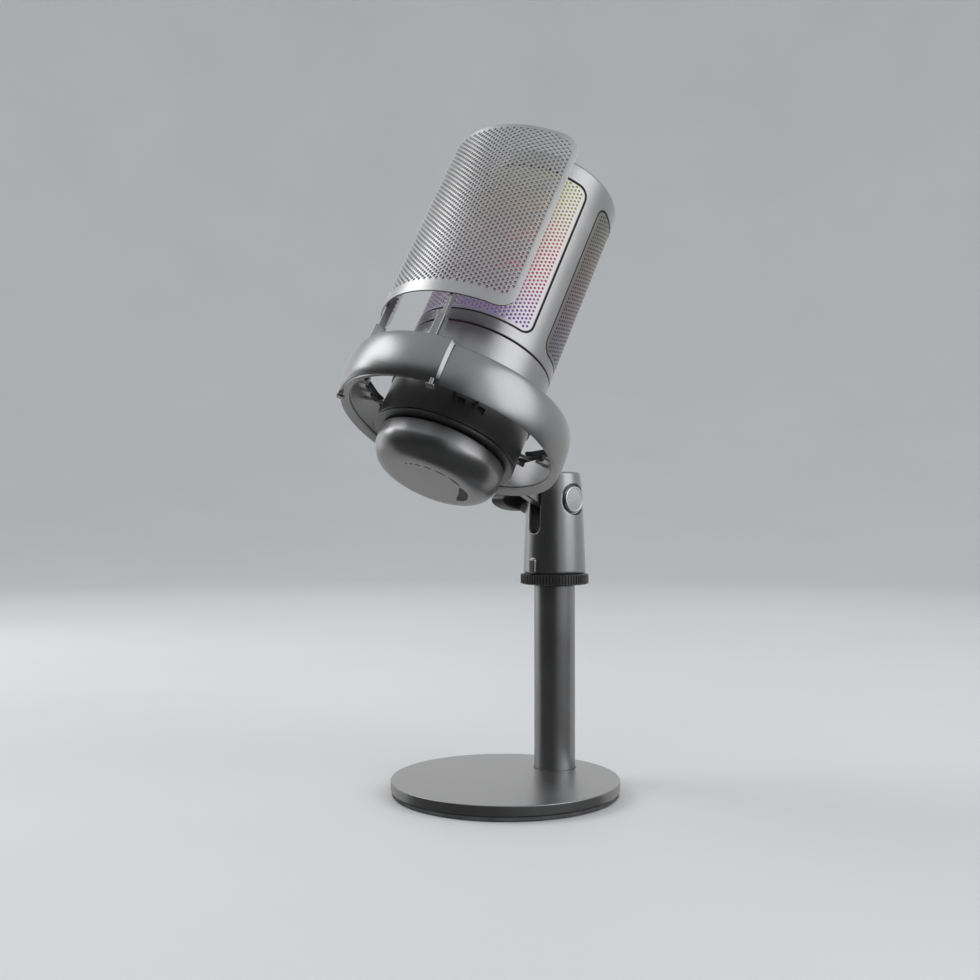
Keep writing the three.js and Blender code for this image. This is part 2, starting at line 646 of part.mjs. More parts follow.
function buildElectronics(mic) {
  const boardLow = 0.4;
  const boardThickness = 1.2;
  const lampRadius = 24.6;
  const ledRing = tube(27.4, 21.5, boardLow, boardLow + boardThickness);
  const lamps = Array.from({ length: 12 }, (_, i) => {
    const width = 3;
    const depth = [lampRadius - 1.5, lampRadius + 1.5];
    return radialBlock(i * 30 + 15, depth, width, [boardLow + 0.6, boardLow + boardThickness + 1.2]);
  });
  addPiece(mic, "led_board", joined(ledRing, ...lamps), circuitBoard);

  const boardFront = 8;
  const mainBoard = block([36, 1.6, 82], [0, boardFront + 0.8, 42.2]);
  const chips = [[-8, 20, 9], [7, 30, 7], [-6, 66, 6]].map(([x, height, size]) => {
    return block([size, 2, size], [x, boardFront + 2.3, height]);
  });
  addPiece(mic, "main_board", joined(mainBoard, ...chips), circuitBoard);

  // The capsule faces the front.
  const capsuleHeight = 52;
  const capsuleRadius = 8.4;
  const capsule = alongRadius(turned([
    [0, 2],
    [capsuleRadius, 2],
    [capsuleRadius, 11.2],
    [capsuleRadius - 0.8, 12],
    [capsuleRadius - 2.4, 12],
    [capsuleRadius - 2.4, 11.4],
    [0, 11.4],
  ], ROUND), 0, capsuleHeight);
  addPiece(mic, "capsule", capsule, brass);
  const holder = alongRadius(tube(11, capsuleRadius + GAP, 3.5, 8.5, ROUND), 0, capsuleHeight);
  const arms = [-1, 1].map((side) => {
    return block([2.2, 12, 5], [side * 10, boardFront - GAP - 6, capsuleHeight]);
  });
  addPiece(mic, "capsule_mount", joined(holder, ...arms), rubber);
}

// ---- Microphone body -------------------------------------------------------------------------

function buildBody(mic) {
  const collar = tube(BODY_RADIUS, BODY_RADIUS - 2.4, COLLAR_BOTTOM, -SEAM_HALF_GAP, FINE_ROUND);
  const portHalf = [4.5, 1.6];
  const stadium = (margin) => {
    const [half, round] = [portHalf[0] - portHalf[1], portHalf[1] + margin];
    return [...arc([half, 0], [round, round], -90, 90, 8), ...arc([-half, 0], [round, round], 90, 270, 8)];
  };
  const portHole = alongRadius(extruded(stadium(0.3), 20, 40), 180, PORT_HEIGHT);
  const jackHole = alongRadius(rod(3.4, 20, 40), JACK_ANGLE, PORT_HEIGHT);
  addPiece(mic, "body_collar", cut(collar, portHole, jackHole), silverGrey);

  const portInside = CORE_INNER + 0.2;
  const portFace = BODY_RADIUS - 0.3;
  const portShell = alongRadius(extruded(stadium(0), portInside, portFace), 180, PORT_HEIGHT);
  const portHollow = alongRadius(extruded(stadium(-0.35), portInside + 0.8, 40), 180, PORT_HEIGHT);
  addPiece(mic, "usb_c_port", cut(portShell, portHollow), bareSteel);
  const jack = alongRadius(turned([
    [0, portInside],
    [3.1, portInside],
    [3.1, portFace],
    [1.75, portFace],
    [1.75, portInside + 0.8],
    [0, portInside + 0.8],
  ], SMALL_ROUND), JACK_ANGLE, PORT_HEIGHT);
  addPiece(mic, "headphone_jack", jack, blackPlastic);

  // The cradle sleeve has a window beside every hook.
  const sleeve = tube(CRADLE_RADIUS, CORE_INNER, CRADLE_BOTTOM, COLLAR_BOTTOM - GAP, FINE_ROUND);
  const hookAngles = CORD_PLACES.flatMap((place) => {
    return [place - CRADLE_HOOK_SPREAD, place + CRADLE_HOOK_SPREAD];
  });
  const windows = hookAngles.map((angle) => {
    const side = Math.sign(angle);
    return radialBlock(angle + side * 6, [CRADLE_RADIUS - 1.6, CRADLE_RADIUS + 2], 3.4, [-35.4, -32.4]);
  });
  const sleeveHooks = hookAngles.flatMap((angle) => cradleHook(angle));
  addPiece(mic, "cradle_sleeve", joined(cut(sleeve, ...windows), ...sleeveHooks), blackPlastic);

  // The barrel's end is a floor whose rim shows as a thin lip below the sleeve.
  const floorHole = 4;
  const lipEdge = 0.4;
  const lipTop = CRADLE_BOTTOM - GAP;
  const barrel = turned([
    [floorHole, BARREL_BOTTOM],
    [CRADLE_RADIUS - lipEdge, BARREL_BOTTOM],
    [CRADLE_RADIUS, BARREL_BOTTOM + lipEdge],
    [CRADLE_RADIUS, lipTop - lipEdge],
    [CRADLE_RADIUS - lipEdge, lipTop],
    [floorHole, lipTop],
  ], FINE_ROUND);
  addPiece(mic, "lower_barrel", barrel, blackPlastic);

  buildChassis(mic);
}

function buildChassis(mic) {
  const chassisTube = tube(CORE_INNER - GAP, CORE_INNER - 1.8, CRADLE_BOTTOM, -3.4);
  addPiece(mic, "chassis_tube", chassisTube, blackPlastic);
  const screwAngles = [60, 180, 300];
  const screwPlace = 16;
  const place = (geometry, angle) => {
    return geometry.translate(0, -screwPlace, 0).rotateZ(radians(angle));
  };
  const holes = screwAngles.map((angle) => place(rod(1.3 + GAP, -5, 5, SMALL_ROUND), angle));
  const plate = rod(BODY_RADIUS - 2.4 - GAP, -3.1, -0.1, ROUND);
  addPiece(mic, "chassis_plate", cut(plate, ...holes), blackPlastic);
  screwAngles.forEach((angle, i) => {
    const screw = turned([
      [0, -4.6],
      [1.3, -4.6],
      [1.3, 0.1],
      [2.6, 0.1],
      [2.6, 1],
      [1.6, 1.7],
      [0, 1.7],
    ], SMALL_ROUND);
    addPiece(mic, `chassis_screw_${i + 1}`, place(screw, angle), bareSteel);
  });

  const potRadius = 8.5;
  const potTop = -33;
  const pot = tube(potRadius, SHAFT_RADIUS + GAP, CRADLE_BOTTOM, potTop, ROUND);
  const lugs = block([8, 6, 1.2], [0, 10, -36]);
  addPiece(mic, "potentiometer", joined(pot, lugs), bareSteel);
}

// ---- Gain knob -------------------------------------------------------------------------------

function buildGainKnob(gain) {
  const cavity = KNOB_RADIUS - 2.4;
  const cavityFloor = KNOB_BOTTOM + 6.5;
  const bossRadius = 6;
  const boreRadius = SHAFT_RADIUS + GAP;
  const shaftEnd = KNOB_BOTTOM + 7;
  const cornerCentre = [KNOB_RADIUS - KNOB_CORNER, KNOB_BOTTOM + KNOB_CORNER];
  const corner = arc(cornerCentre, [KNOB_CORNER, KNOB_CORNER], -90, 0, 6);
  const knob = turned([
    [0, KNOB_BOTTOM],
    ...corner,
    [KNOB_RADIUS, KNOB_TOP],
    [cavity, KNOB_TOP],
    [cavity, KNOB_BOTTOM + KNOB_CORNER],
    [cavity - 5, cavityFloor],
    [bossRadius, cavityFloor],
    [bossRadius, KNOB_TOP - 1],
    [boreRadius, KNOB_TOP - 1],
    [boreRadius, shaftEnd - GAP],
    [0, shaftEnd - GAP],
  ], FINE_ROUND);
  addPiece(gain, "gain_knob", knob, satinKnob);
  addPiece(gain, "pot_shaft", rod(SHAFT_RADIUS, shaftEnd, CRADLE_BOTTOM + 8), bareSteel);
}

// ---- Assembly --------------------------------------------------------------------------------

const microphoneAssembly = new THREE.Group();
buildStand(microphoneAssembly);

const forkGroup = new THREE.Group();
forkGroup.position.set(0, POLE_SET_BACK, 0);
microphoneAssembly.add(forkGroup);
buildFork(forkGroup);
buildThumbKnob(forkGroup);

// Everything that tilts hangs from the fork's bolt; inside this group the microphone stands upright.
const tiltGroup = new THREE.Group();
tiltGroup.position.set(0, 0, PIVOT_HEIGHT);
tiltGroup.rotation.x = -TILT;
forkGroup.add(tiltGroup);

const microphone = new THREE.Group();
microphone.position.set(0, -PIVOT_REACH, -RING_MIDDLE);
tiltGroup.add(microphone);
buildRing(microphone);
buildCords(microphone);
buildFilterClip(microphone);
buildPopFilter(microphone);
buildHead(microphone);
buildElectronics(microphone);
buildBody(microphone);
buildGainKnob(microphone);

export default microphoneAssembly;
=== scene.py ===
# Looks for the desktop microphone. The imported CAD model is the frame; smooth, detailed pieces are
# built here in millimetres, in the stand's frame or in the leaning microphone's own frame, and all but
# the cords ride on the CAD body that they belong to.
import json
import math

import bmesh
import bpy
import numpy as np
from mathutils import Matrix, Vector
from mathutils.geometry import delaunay_2d_cdt


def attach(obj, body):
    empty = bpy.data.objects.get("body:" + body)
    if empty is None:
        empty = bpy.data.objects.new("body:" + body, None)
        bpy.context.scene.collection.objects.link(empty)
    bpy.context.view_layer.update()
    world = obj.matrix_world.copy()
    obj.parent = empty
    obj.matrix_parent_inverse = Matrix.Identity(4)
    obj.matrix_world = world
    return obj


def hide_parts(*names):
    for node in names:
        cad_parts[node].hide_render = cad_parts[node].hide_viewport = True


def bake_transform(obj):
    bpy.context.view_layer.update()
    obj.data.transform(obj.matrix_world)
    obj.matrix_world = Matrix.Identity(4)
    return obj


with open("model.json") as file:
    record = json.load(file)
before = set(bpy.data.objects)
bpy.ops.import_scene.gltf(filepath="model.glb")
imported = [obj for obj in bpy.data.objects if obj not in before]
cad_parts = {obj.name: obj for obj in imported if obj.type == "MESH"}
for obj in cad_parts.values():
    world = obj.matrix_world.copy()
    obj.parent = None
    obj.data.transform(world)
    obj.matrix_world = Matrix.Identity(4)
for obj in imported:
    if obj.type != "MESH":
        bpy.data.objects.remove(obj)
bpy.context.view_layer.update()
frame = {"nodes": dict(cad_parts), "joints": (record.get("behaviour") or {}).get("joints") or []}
joints = {joint["name"]: joint for joint in frame["joints"]}
nodes = frame["nodes"]

# ---- Dimensions, in millimetres ----------------------------------------------------------------

MM = 0.001

BASE_RADIUS = 50.0
BASE_TOP = 6.3
PAD_THICKNESS = 1.7
POLE_RADIUS = 9.3
POLE_TOP = 89.2
STUD_RADIUS = 7.94
STUD_TOP = 108.0
LOCK_RING_RADIUS = 15.5
LOCK_RING_BOTTOM = 89.5
LOCK_RING_TOP = 94.4
KNURL_TEETH = 68

FORK_BOTTOM = 94.7
FORK_TOP = 140.5
FORK_BOTTOM_RADIUS = 14.2
FORK_MIDDLE = (13.25, 121.0)
FORK_SHOULDER = (12.75, 132.0)
FORK_TOP_RADIUS = 12.1
SLOT_WIDTH = 6.4
SLOT_FLOOR = 112.6
CAP_RADIUS = 5.95
CAP_RECESS_RADIUS = 7.0
BOLT_RADIUS = 2.9

BODY_RADIUS = 31.48
HEAD_TOP = 91.6
HEAD_WALL = 1.6
WINDOW_BOTTOM = 5.7
WINDOW_TOP = 82.4
WINDOW_HALF_ANGLE = 82.0
WINDOW_CORNER = 5.5
COLLAR_BOTTOM = -24.0
CRADLE_RADIUS = 30.8
CRADLE_BOTTOM = -42.2
BARREL_BOTTOM = -43.9
CORE_INNER = 27.2
KNOB_TOP = -44.6
KNOB_BOTTOM = -59.8
KNOB_RADIUS = 27.5
KNOB_CORNER = 10.2
PORT_HEIGHT = -10.0
JACK_ANGLE = 150.0

RING_CREST_RADIUS = 47.4
RING_BULGE = 2.1
RING_ARC_MIDDLE = -30.0
RING_HALF_HEIGHT = 10.3
RING_TOP = RING_ARC_MIDDLE + RING_HALF_HEIGHT
RING_LIP_RADIUS = 45.3
RING_MIDDLE = -29.2
PIVOT_REACH = 69.1
CREASE_ANGLE = -58.7
LINER_INNER = 45.0
LINER_OUTER = 46.2
LINER_BOTTOM = -36.0
CLIP_HALF_ANGLE = 39.8
CLIP_TOP = -18.2
CLIP_OUTER_RADIUS = 51.28
STALK_ANGLE = 26.5
SCREEN_RADIUS = 47.6
SCREEN_THICKNESS = 0.8
SCREEN_HALF_ANGLE = 58.0
SCREEN_BOTTOM = 2.7
SCREEN_TOP = 90.1
SCREEN_CORNER = 8.0

CORD_PLACES = (54.0, 150.0, -150.0, -54.0)
CORD_RADIUS = 0.7
RING_HOOK_SPREAD = 10.0
CRADLE_HOOK_SPREAD = 8.0
RING_HOOK_HEIGHT = -25.5
CRADLE_HOOK_HEIGHT = -31.0
RING_BEND = 43.1
CRADLE_BEND = 33.0
BEND_RADIUS = 1.6
HOOK_WIDTH = 1.6
HOOK_EDGE = 0.3
HOOK_FLOOR_DROP = 1.3  # from the cord's centre line down to the hook's floor
HOOK_FLOOR_THICKNESS = 1.2
HOOK_LIP_RISE = 0.9

GAP = 0.3  # between neighbouring pieces
SCREW_HOLE_RADIUS = 3.2
SCREEN_PITCH = (1.6, 2.1)  # across the arc and along the axis
SCREEN_HOLE_RADIUS = 0.66
GRILLE_PITCH = (1.66, 1.92)
GRILLE_HOLE_RADIUS = 0.5
HOLE_FACETS = 12
GRILLE_GROOVE = 0.85
SEAL_DEPTH = 0.55
SCALE_DASHES = 6

CAMERA_PLACE = (0.36882, -0.35890, 0.12339)  # metres
CAMERA_DIRECTION = (-0.72560, 0.68792, 0.01669)
CAMERA_LENS = 43.05

FINE = 192  # facets round a large turned piece
MEDIUM = 96
SMALL = 40

# ---- Frames ------------------------------------------------------------------------------------

AXIS = Vector(joints["gain_knob_turn"]["axis"]).normalized()
SIDE = Vector((1, 0, 0))
BACK = AXIS.cross(SIDE)
KNOB_JOINT_HEIGHT = -50.0  # where the knob's joint sits on the microphone's axis
ORIGIN = Vector(joints["gain_knob_turn"]["pos_m"]) - AXIS * KNOB_JOINT_HEIGHT * MM
PIVOT = Vector(joints["head_tilt"]["pos_m"])


def frame_matrix(origin, x, y, z):
    """Maps millimetres along three directions from an origin to metres in the row frame."""
    matrix = Matrix((x, y, z)).transposed().to_4x4()
    matrix = matrix @ Matrix.Scale(MM, 4)
    matrix.translation = origin
    return matrix


WORLD = Matrix.Scale(MM, 4)
POLE = Matrix.Translation((PIVOT.x, PIVOT.y, 0)) @ Matrix.Scale(MM, 4)
CROSS_BOLT = frame_matrix(PIVOT, Vector((0, 1, 0)), Vector((0, 0, 1)), SIDE)
MIC = frame_matrix(ORIGIN, SIDE, BACK, AXIS)

# ---- Camera ------------------------------------------------------------------------------------


def add_camera():
    """A camera three quarters from the front, low, looking very slightly up."""
    forward = Vector(CAMERA_DIRECTION).normalized()
    right = forward.cross(Vector((0, 0, 1))).normalized()
    up = right.cross(forward)
    data = bpy.data.cameras.new("camera")
    data.sensor_width = 36
    data.lens = CAMERA_LENS
    data.clip_start = 0.01
    data.clip_end = 50
    camera = bpy.data.objects.new("camera", data)
    bpy.context.scene.collection.objects.link(camera)
    camera.matrix_world = Matrix((right, up, -forward)).transposed().to_4x4()
    camera.location = CAMERA_PLACE
    bpy.context.scene.camera = camera


add_camera()

# ---- Material helpers --------------------------------------------------------------------------


def shade(color, factor):
    return tuple(min(1.0, channel * factor) for channel in color)


class Nodes:
    """A material with a Principled shader and short calls for the nodes that feed it."""

    def __init__(self, name):
        self.material = bpy.data.materials.new(name)
        self.material.use_nodes = True
        self.tree = self.material.node_tree
        self.shader = self.tree.nodes["Principled BSDF"]

    def node(self, kind, **settings):
        made = self.tree.nodes.new(kind)
        for key, value in settings.items():
            setattr(made, key, value)
        return made

    def link(self, source, target):
        self.tree.links.new(source, target)

    def set(self, **values):
        for key, value in values.items():
            self.shader.inputs[key.replace("_", " ")].default_value = value

    def position(self):
        return self.node("ShaderNodeTexCoord").outputs["Object"]

    def uv(self):
        return self.node("ShaderNodeTexCoord").outputs["UV"]

    def math(self, operation, first, second=None):
        made = self.node("ShaderNodeMath", operation=operation)
        for socket, value in zip(made.inputs, (first, second)):
            if value is None:
                continue
            if isinstance(value, (int, float)):
                socket.default_value = value
            else:
                self.link(value, socket)
        return made.outputs[0]

    def noise(self, vector, scale, detail=3.0, roughness=0.5):
        made = self.node("ShaderNodeTexNoise")
        made.inputs["Scale"].default_value = scale
        made.inputs["Detail"].default_value = detail
        made.inputs["Roughness"].default_value = roughness
        self.link(vector, made.inputs["Vector"])
        return made.outputs["Fac"]

    def cells(self, vector, scale, feature="F1"):
        made = self.node("ShaderNodeTexVoronoi", feature=feature)
        made.inputs["Scale"].default_value = scale
        self.link(vector, made.inputs["Vector"])
        return made.outputs["Distance"]

    def ramp(self, factor, stops, interpolation="LINEAR"):
        made = self.node("ShaderNodeValToRGB")
        made.color_ramp.interpolation = interpolation
        elements = made.color_ramp.elements
        while len(elements) < len(stops):
            elements.new(0.5)
        for element, (place, color) in zip(elements, stops):
            element.position = place
            element.color = (*color, 1)
        self.link(factor, made.inputs["Fac"])
        return made.outputs["Color"]

    def spread(self, factor, low, high, source=(0.0, 1.0)):
        made = self.node("ShaderNodeMapRange")
        made.inputs["From Min"].default_value = source[0]
        made.inputs["From Max"].default_value = source[1]
        made.inputs["To Min"].default_value = low
        made.inputs["To Max"].default_value = high
        self.link(factor, made.inputs["Value"])
        return made.outputs["Result"]

    def bump(self, height, distance, strength=1.0):
        made = self.node("ShaderNodeBump")
        made.inputs["Distance"].default_value = distance
        made.inputs["Strength"].default_value = strength
        self.link(height, made.inputs["Height"])
        self.feed("Normal", made.outputs["Normal"])

    def feed(self, socket, source):
        self.link(source, self.shader.inputs[socket])

    def tones(self, factor, color, dark, light):
        """Base colour between two shades of one colour, each a (place, shade) pair."""
        stops = [(place, shade(color, much)) for place, much in (dark, light)]
        self.feed("Base Color", self.ramp(factor, stops))

    def gloss(self, factor, low, high, source=(0.3, 0.7)):
        self.feed("Roughness", self.spread(factor, low, high, source))


def coated_metal(name, color, metallic, roughness):
    """Satin paint over metal: a fine sprayed grain, cloudy tone and a slightly uneven gloss."""
    made = Nodes(name)
    place = made.position()
    cloud = made.noise(place, 42.0, 4.0)
    grains = made.noise(place, 5200.0, 2.0)
    tone = made.math("ADD", made.math("MULTIPLY", cloud, 0.6), made.math("MULTIPLY", grains, 0.4))
    made.tones(tone, color, (0.3, 0.86), (0.7, 1.12))
    polish = made.math("ADD", made.math("MULTIPLY", cloud, 0.5), made.math("MULTIPLY", grains, 0.5))
    made.gloss(polish, roughness - 0.05, roughness + 0.06)
    made.set(Metallic=metallic)
    made.bump(grains, 9e-6)
    return made.material


def moulded_plastic(name, color, roughness):
    """Plastic from a spark-eroded mould: rounded grains, with scuffs that change the gloss."""
    made = Nodes(name)
    place = made.position()
    cells = made.cells(place, 2600.0, "SMOOTH_F1")
    cloud = made.noise(place, 60.0, 4.0, 0.6)
    made.tones(cloud, color, (0.3, 0.82), (0.72, 1.25))
    made.gloss(cloud, roughness - 0.06, roughness + 0.08)
    made.bump(cells, 1.6e-5, 0.7)
    return made.material


def turned_metal(name, color, roughness, centre, axis):
    """Bare metal with fine concentric tool marks round an axis."""
    made = Nodes(name)
    place = made.position()
    offset = made.node("ShaderNodeVectorMath", operation="SUBTRACT")
    made.link(place, offset.inputs[0])
    offset.inputs[1].default_value = centre
    across = made.node("ShaderNodeVectorMath", operation="CROSS_PRODUCT")
    made.link(offset.outputs[0], across.inputs[0])
    across.inputs[1].default_value = axis
    distance = made.node("ShaderNodeVectorMath", operation="LENGTH")
    made.link(across.outputs[0], distance.inputs[0])
    rings = made.node("ShaderNodeCombineXYZ")
    made.link(distance.outputs["Value"], rings.inputs["X"])
    marks = made.noise(rings.outputs[0], 9000.0, 3.0, 0.7)
    cloud = made.noise(place, 180.0, 2.0)
    made.tones(marks, color, (0.3, 0.85), (0.7, 1.08))
    made.gloss(cloud, roughness - 0.05, roughness + 0.08)
    made.set(Metallic=1.0)
    made.bump(marks, 4e-6, 0.6)
    return made.material


def soft_rubber(name, color):
    made = Nodes(name)
    place = made.position()
    pebbles = made.cells(place, 1500.0)
    dust = made.noise(place, 90.0, 5.0, 0.6)
    made.tones(dust, color, (0.35, 0.8), (0.75, 1.8))
    made.gloss(dust, 0.68, 0.86)
    made.bump(pebbles, 2.5e-5, 0.5)
    return made.material


def braided_elastic(name, color):
    """A braided sleeve over rubber: two sets of strands crossing round the cord, laid out by its UV map."""
    made = Nodes(name)
    split = made.node("ShaderNodeSeparateXYZ")
    made.link(made.uv(), split.inputs[0])
    around = made.math("MULTIPLY", split.outputs["X"], 8.0)
    along = made.math("MULTIPLY", split.outputs["Y"], 900.0)
    right = made.math("SINE", made.math("MULTIPLY", made.math("ADD", around, along), math.tau))
    left = made.math("SINE", made.math("MULTIPLY", made.math("SUBTRACT", around, along), math.tau))
    strands = made.math("MULTIPLY", right, left)
    height = made.math("ABSOLUTE", strands)
    # Painted shade and highlight: the colour is darker in the hollows between strands and lighter on their
    # crowns.
    made.tones(height, color, (0.0, 0.4), (0.6, 1.7))
    made.gloss(height, 0.9, 0.6, (0.0, 1.0))
    made.set(Sheen_Weight=0.3, Sheen_Roughness=0.5)
    made.bump(height, 8e-5, 0.8)
    return made.material


def circuit_board(name, color):
    """Solder mask with a faint weave under it and copper tracks a shade lighter."""
    made = Nodes(name)
    place = made.position()
    tracks = made.cells(place, 420.0, "DISTANCE_TO_EDGE")
    weave = made.noise(place, 3000.0, 2.0)
    mask = made.ramp(tracks, [(0.03, shade(color, 1.9)), (0.07, color)], "EASE")
    made.feed("Base Color", mask)
    made.gloss(weave, 0.25, 0.45, (0.0, 1.0))
    made.bump(tracks, 2e-5, 0.3)
    return made.material


GLOW_STOPS = [
    (0.0, (0.20, 0.05, 0.62)),
    (0.13, (0.42, 0.08, 0.62)),
    (0.3, (0.85, 0.07, 0.22)),
    (0.5, (0.95, 0.10, 0.09)),
    (0.68, (0.98, 0.42, 0.10)),
    (0.85, (0.92, 0.80, 0.12)),
    (1.0, (0.75, 0.85, 0.15)),
]


def glow_colour(made, paleness=0.0):
    """The lamps' colour by height along the microphone, from violet at the bottom to yellow at the top."""
    stops = [(place, tuple(c + (1 - c) * paleness for c in colour)) for place, colour in GLOW_STOPS]
    along = made.node("ShaderNodeVectorMath", operation="DOT_PRODUCT")
    made.link(made.position(), along.inputs[0])
    along.inputs[1].default_value = AXIS
    base = ORIGIN.dot(AXIS)
    low, high = base + WINDOW_BOTTOM * MM, base + WINDOW_TOP * MM
    return made.ramp(made.spread(along.outputs["Value"], 0.0, 1.0, (low, high)), stops)


def lit_diffuser(name):
    made = Nodes(name)
    colour = glow_colour(made)
    patches = made.noise(made.position(), 110.0, 2.0)
    made.feed("Base Color", colour)
    made.feed("Emission Color", colour)
    made.feed("Emission Strength", made.spread(patches, 0.25, 0.5, (0.3, 0.7)))
    made.set(Roughness=0.5)
    return made.material


def glowing_grille(name, color, roughness, glow):
    """The head's silver paint with a painted glow: the metal emits a pale version of the lamps' colour,
    standing in for the light that leaks round every hole.
    """
    made = Nodes(name)
    place = made.position()
    grains = made.noise(place, 5200.0, 2.0)
    made.tones(grains, color, (0.3, 0.88), (0.7, 1.1))
    made.gloss(grains, roughness - 0.05, roughness + 0.05)
    # Painted glow: emission in the lamps' colours on the metal itself.
    made.feed("Emission Color", glow_colour(made, 0.45))
    made.set(Metallic=0.85, Emission_Strength=glow)
    made.bump(grains, 8e-6)
    return made.material


GUNMETAL_COLOR = (0.30, 0.30, 0.305)
SILVER_COLOR = (0.34, 0.34, 0.345)

gunmetal = coated_metal("gunmetal", GUNMETAL_COLOR, 0.93, 0.31)
silver = coated_metal("silver_paint", SILVER_COLOR, 0.9, 0.35)
screen_silver = coated_metal("screen_silver", (0.44, 0.44, 0.445), 0.9, 0.33)
liner_plastic = coated_metal("liner_plastic", (0.42, 0.42, 0.425), 0.7, 0.42)
dark_satin = coated_metal("dark_satin", (0.13, 0.13, 0.132), 0.85, 0.31)
black_plastic = moulded_plastic("black_plastic", (0.014, 0.014, 0.015), 0.42)
knob_finish = coated_metal("knob_finish", (0.28, 0.28, 0.285), 0.93, 0.3)
knob_mark = moulded_plastic("knob_mark", (0.008, 0.008, 0.009), 0.5)
steel = turned_metal("steel", (0.62, 0.62, 0.63), 0.28, PIVOT, SIDE)
brass = turned_metal("brass", (0.60, 0.43, 0.18), 0.3, PIVOT, Vector((0, 0, 1)))
rubber = soft_rubber("rubber", (0.016, 0.016, 0.017))
pad_rubber = soft_rubber("pad_rubber", (0.07, 0.07, 0.072))
nylon = moulded_plastic("nylon", (0.66, 0.63, 0.55), 0.5)
elastic = braided_elastic("elastic", (0.011, 0.011, 0.012))
board = circuit_board("circuit_board", (0.012, 0.075, 0.03))
diffuser = lit_diffuser("diffuser")
front_grille = glowing_grille("front_grille", SILVER_COLOR, 0.38, 0.12)
# Painted shade: the back grille is a shaded copy of the front one, with paint half as light and a weaker
# painted glow.
shaded_back_grille = glowing_grille("shaded_back_grille", shade(SILVER_COLOR, 0.5), 0.4, 0.035)

# ---- Shape helpers -----------------------------------------------------------------------------


def arc(centre, radii, start, end, steps):
    """Points on an elliptical arc, with angles in degrees from the first axis."""
    angles = np.radians(np.linspace(start, end, steps + 1))
    return [(centre[0] + radii[0] * math.cos(a), centre[1] + radii[1] * math.sin(a)) for a in angles]


def on_circle(angle, radius, height):
    """A place at an angle in radians from the front."""
    return (radius * math.sin(angle), -radius * math.cos(angle), height)


def polar(degrees, radius, height):
    return Vector(on_circle(math.radians(degrees), radius, height))


def rounded(corners, closed=False, steps=5):
    """A polyline of (x, y) or (x, y, radius) corners with each radius turned into an arc."""
    points = []
    count = len(corners)
    for i, corner in enumerate(corners):
        here = Vector(corner[:2])
        radius = corner[2] if len(corner) > 2 else 0.0
        ends = not closed and i in (0, count - 1)
        if radius <= 0 or ends:
            points.append(tuple(here))
            continue
        before = Vector(corners[i - 1][:2]) - here
        after = Vector(corners[(i + 1) % count][:2]) - here
        half = before.angle(after) / 2
        reach = min(radius / math.tan(half), before.length * 0.49, after.length * 0.49)
        size = reach * math.tan(half)
        middle = here + (before.normalized() + after.normalized()).normalized() * size / math.sin(half)
        first = here + before.normalized() * reach - middle
        last = here + after.normalized() * reach - middle
        turn = first.angle_signed(last)
        for k in range(steps + 1):
            point = first.copy()
            point.rotate(Matrix.Rotation(-turn * k / steps, 2))
            points.append(tuple(middle + point))
    return points


def lathe(profile, count=FINE, closed=True):
    """A (radius, height) profile turned about the third axis; closed joins its last point to its first."""
    angles = np.radians(np.linspace(0.0, 360.0, count + 1)[:count])
    verts = []
    rows = []
    for radius, height in profile:
        if radius < 1e-6:
            rows.append([len(verts)] * count)
            verts.append((0.0, 0.0, height))
            continue
        rows.append(list(range(len(verts), len(verts) + count)))
        verts.extend(on_circle(a, radius, height) for a in angles)
    faces = []
    pairs = list(zip(rows, rows[1:]))
    if closed:
        pairs.append((rows[-1], rows[0]))
    for lower, upper in pairs:
        for i in range(count):
            j = (i + 1) % count
            quad = [lower[i], lower[j], upper[j], upper[i]]
            face = [v for k, v in enumerate(quad) if v not in quad[:k]]
            if len(face) > 2:
                faces.append(face)
    return verts, faces


def cylinder(radius, low, high, count=MEDIUM):
    return lathe([(0, low), (radius, low), (radius, high), (0, high)], count)


def skin(layers, count):
    """Faces over equal loops of points, one loop after another, with both ends closed."""
    faces = []
    for first in range(0, (layers - 1) * count, count):
        for i in range(count):
            j = (i + 1) % count
            faces.append([first + i, first + j, first + count + j, first + count + i])
    faces.append(list(range(count))[::-1])
    faces.append(list(range((layers - 1) * count, layers * count)))
    return faces


def prism(outline, low, high):
    """A flat outline carried along the third axis."""
    count = len(outline)
    verts = [(x, y, low) for x, y in outline] + [(x, y, high) for x, y in outline]
    faces = [[i, (i + 1) % count, count + (i + 1) % count, count + i] for i in range(count)]
    faces.append(list(range(count))[::-1])
    faces.append(list(range(count, 2 * count)))
    return verts, faces


def pillow_prism(outline_at, low, high, edge, steps=3):
    """A prism with rounded ends; outline_at(inset) gives its outline shrunk by an inset."""
    layers = []
    for k in range(steps + 1):
        angle = math.pi / 2 * k / steps
        layers.append((edge * (1 - math.sin(angle)), low + edge * (1 - math.cos(angle))))
    layers += [(inset, low + high - height) for inset, height in reversed(layers)]
    outlines = [(outline_at(inset), height) for inset, height in layers]
    count = len(outlines[0][0])
    verts = [(x, y, height) for outline, height in outlines for x, y in outline]
    return verts, skin(len(outlines), count)


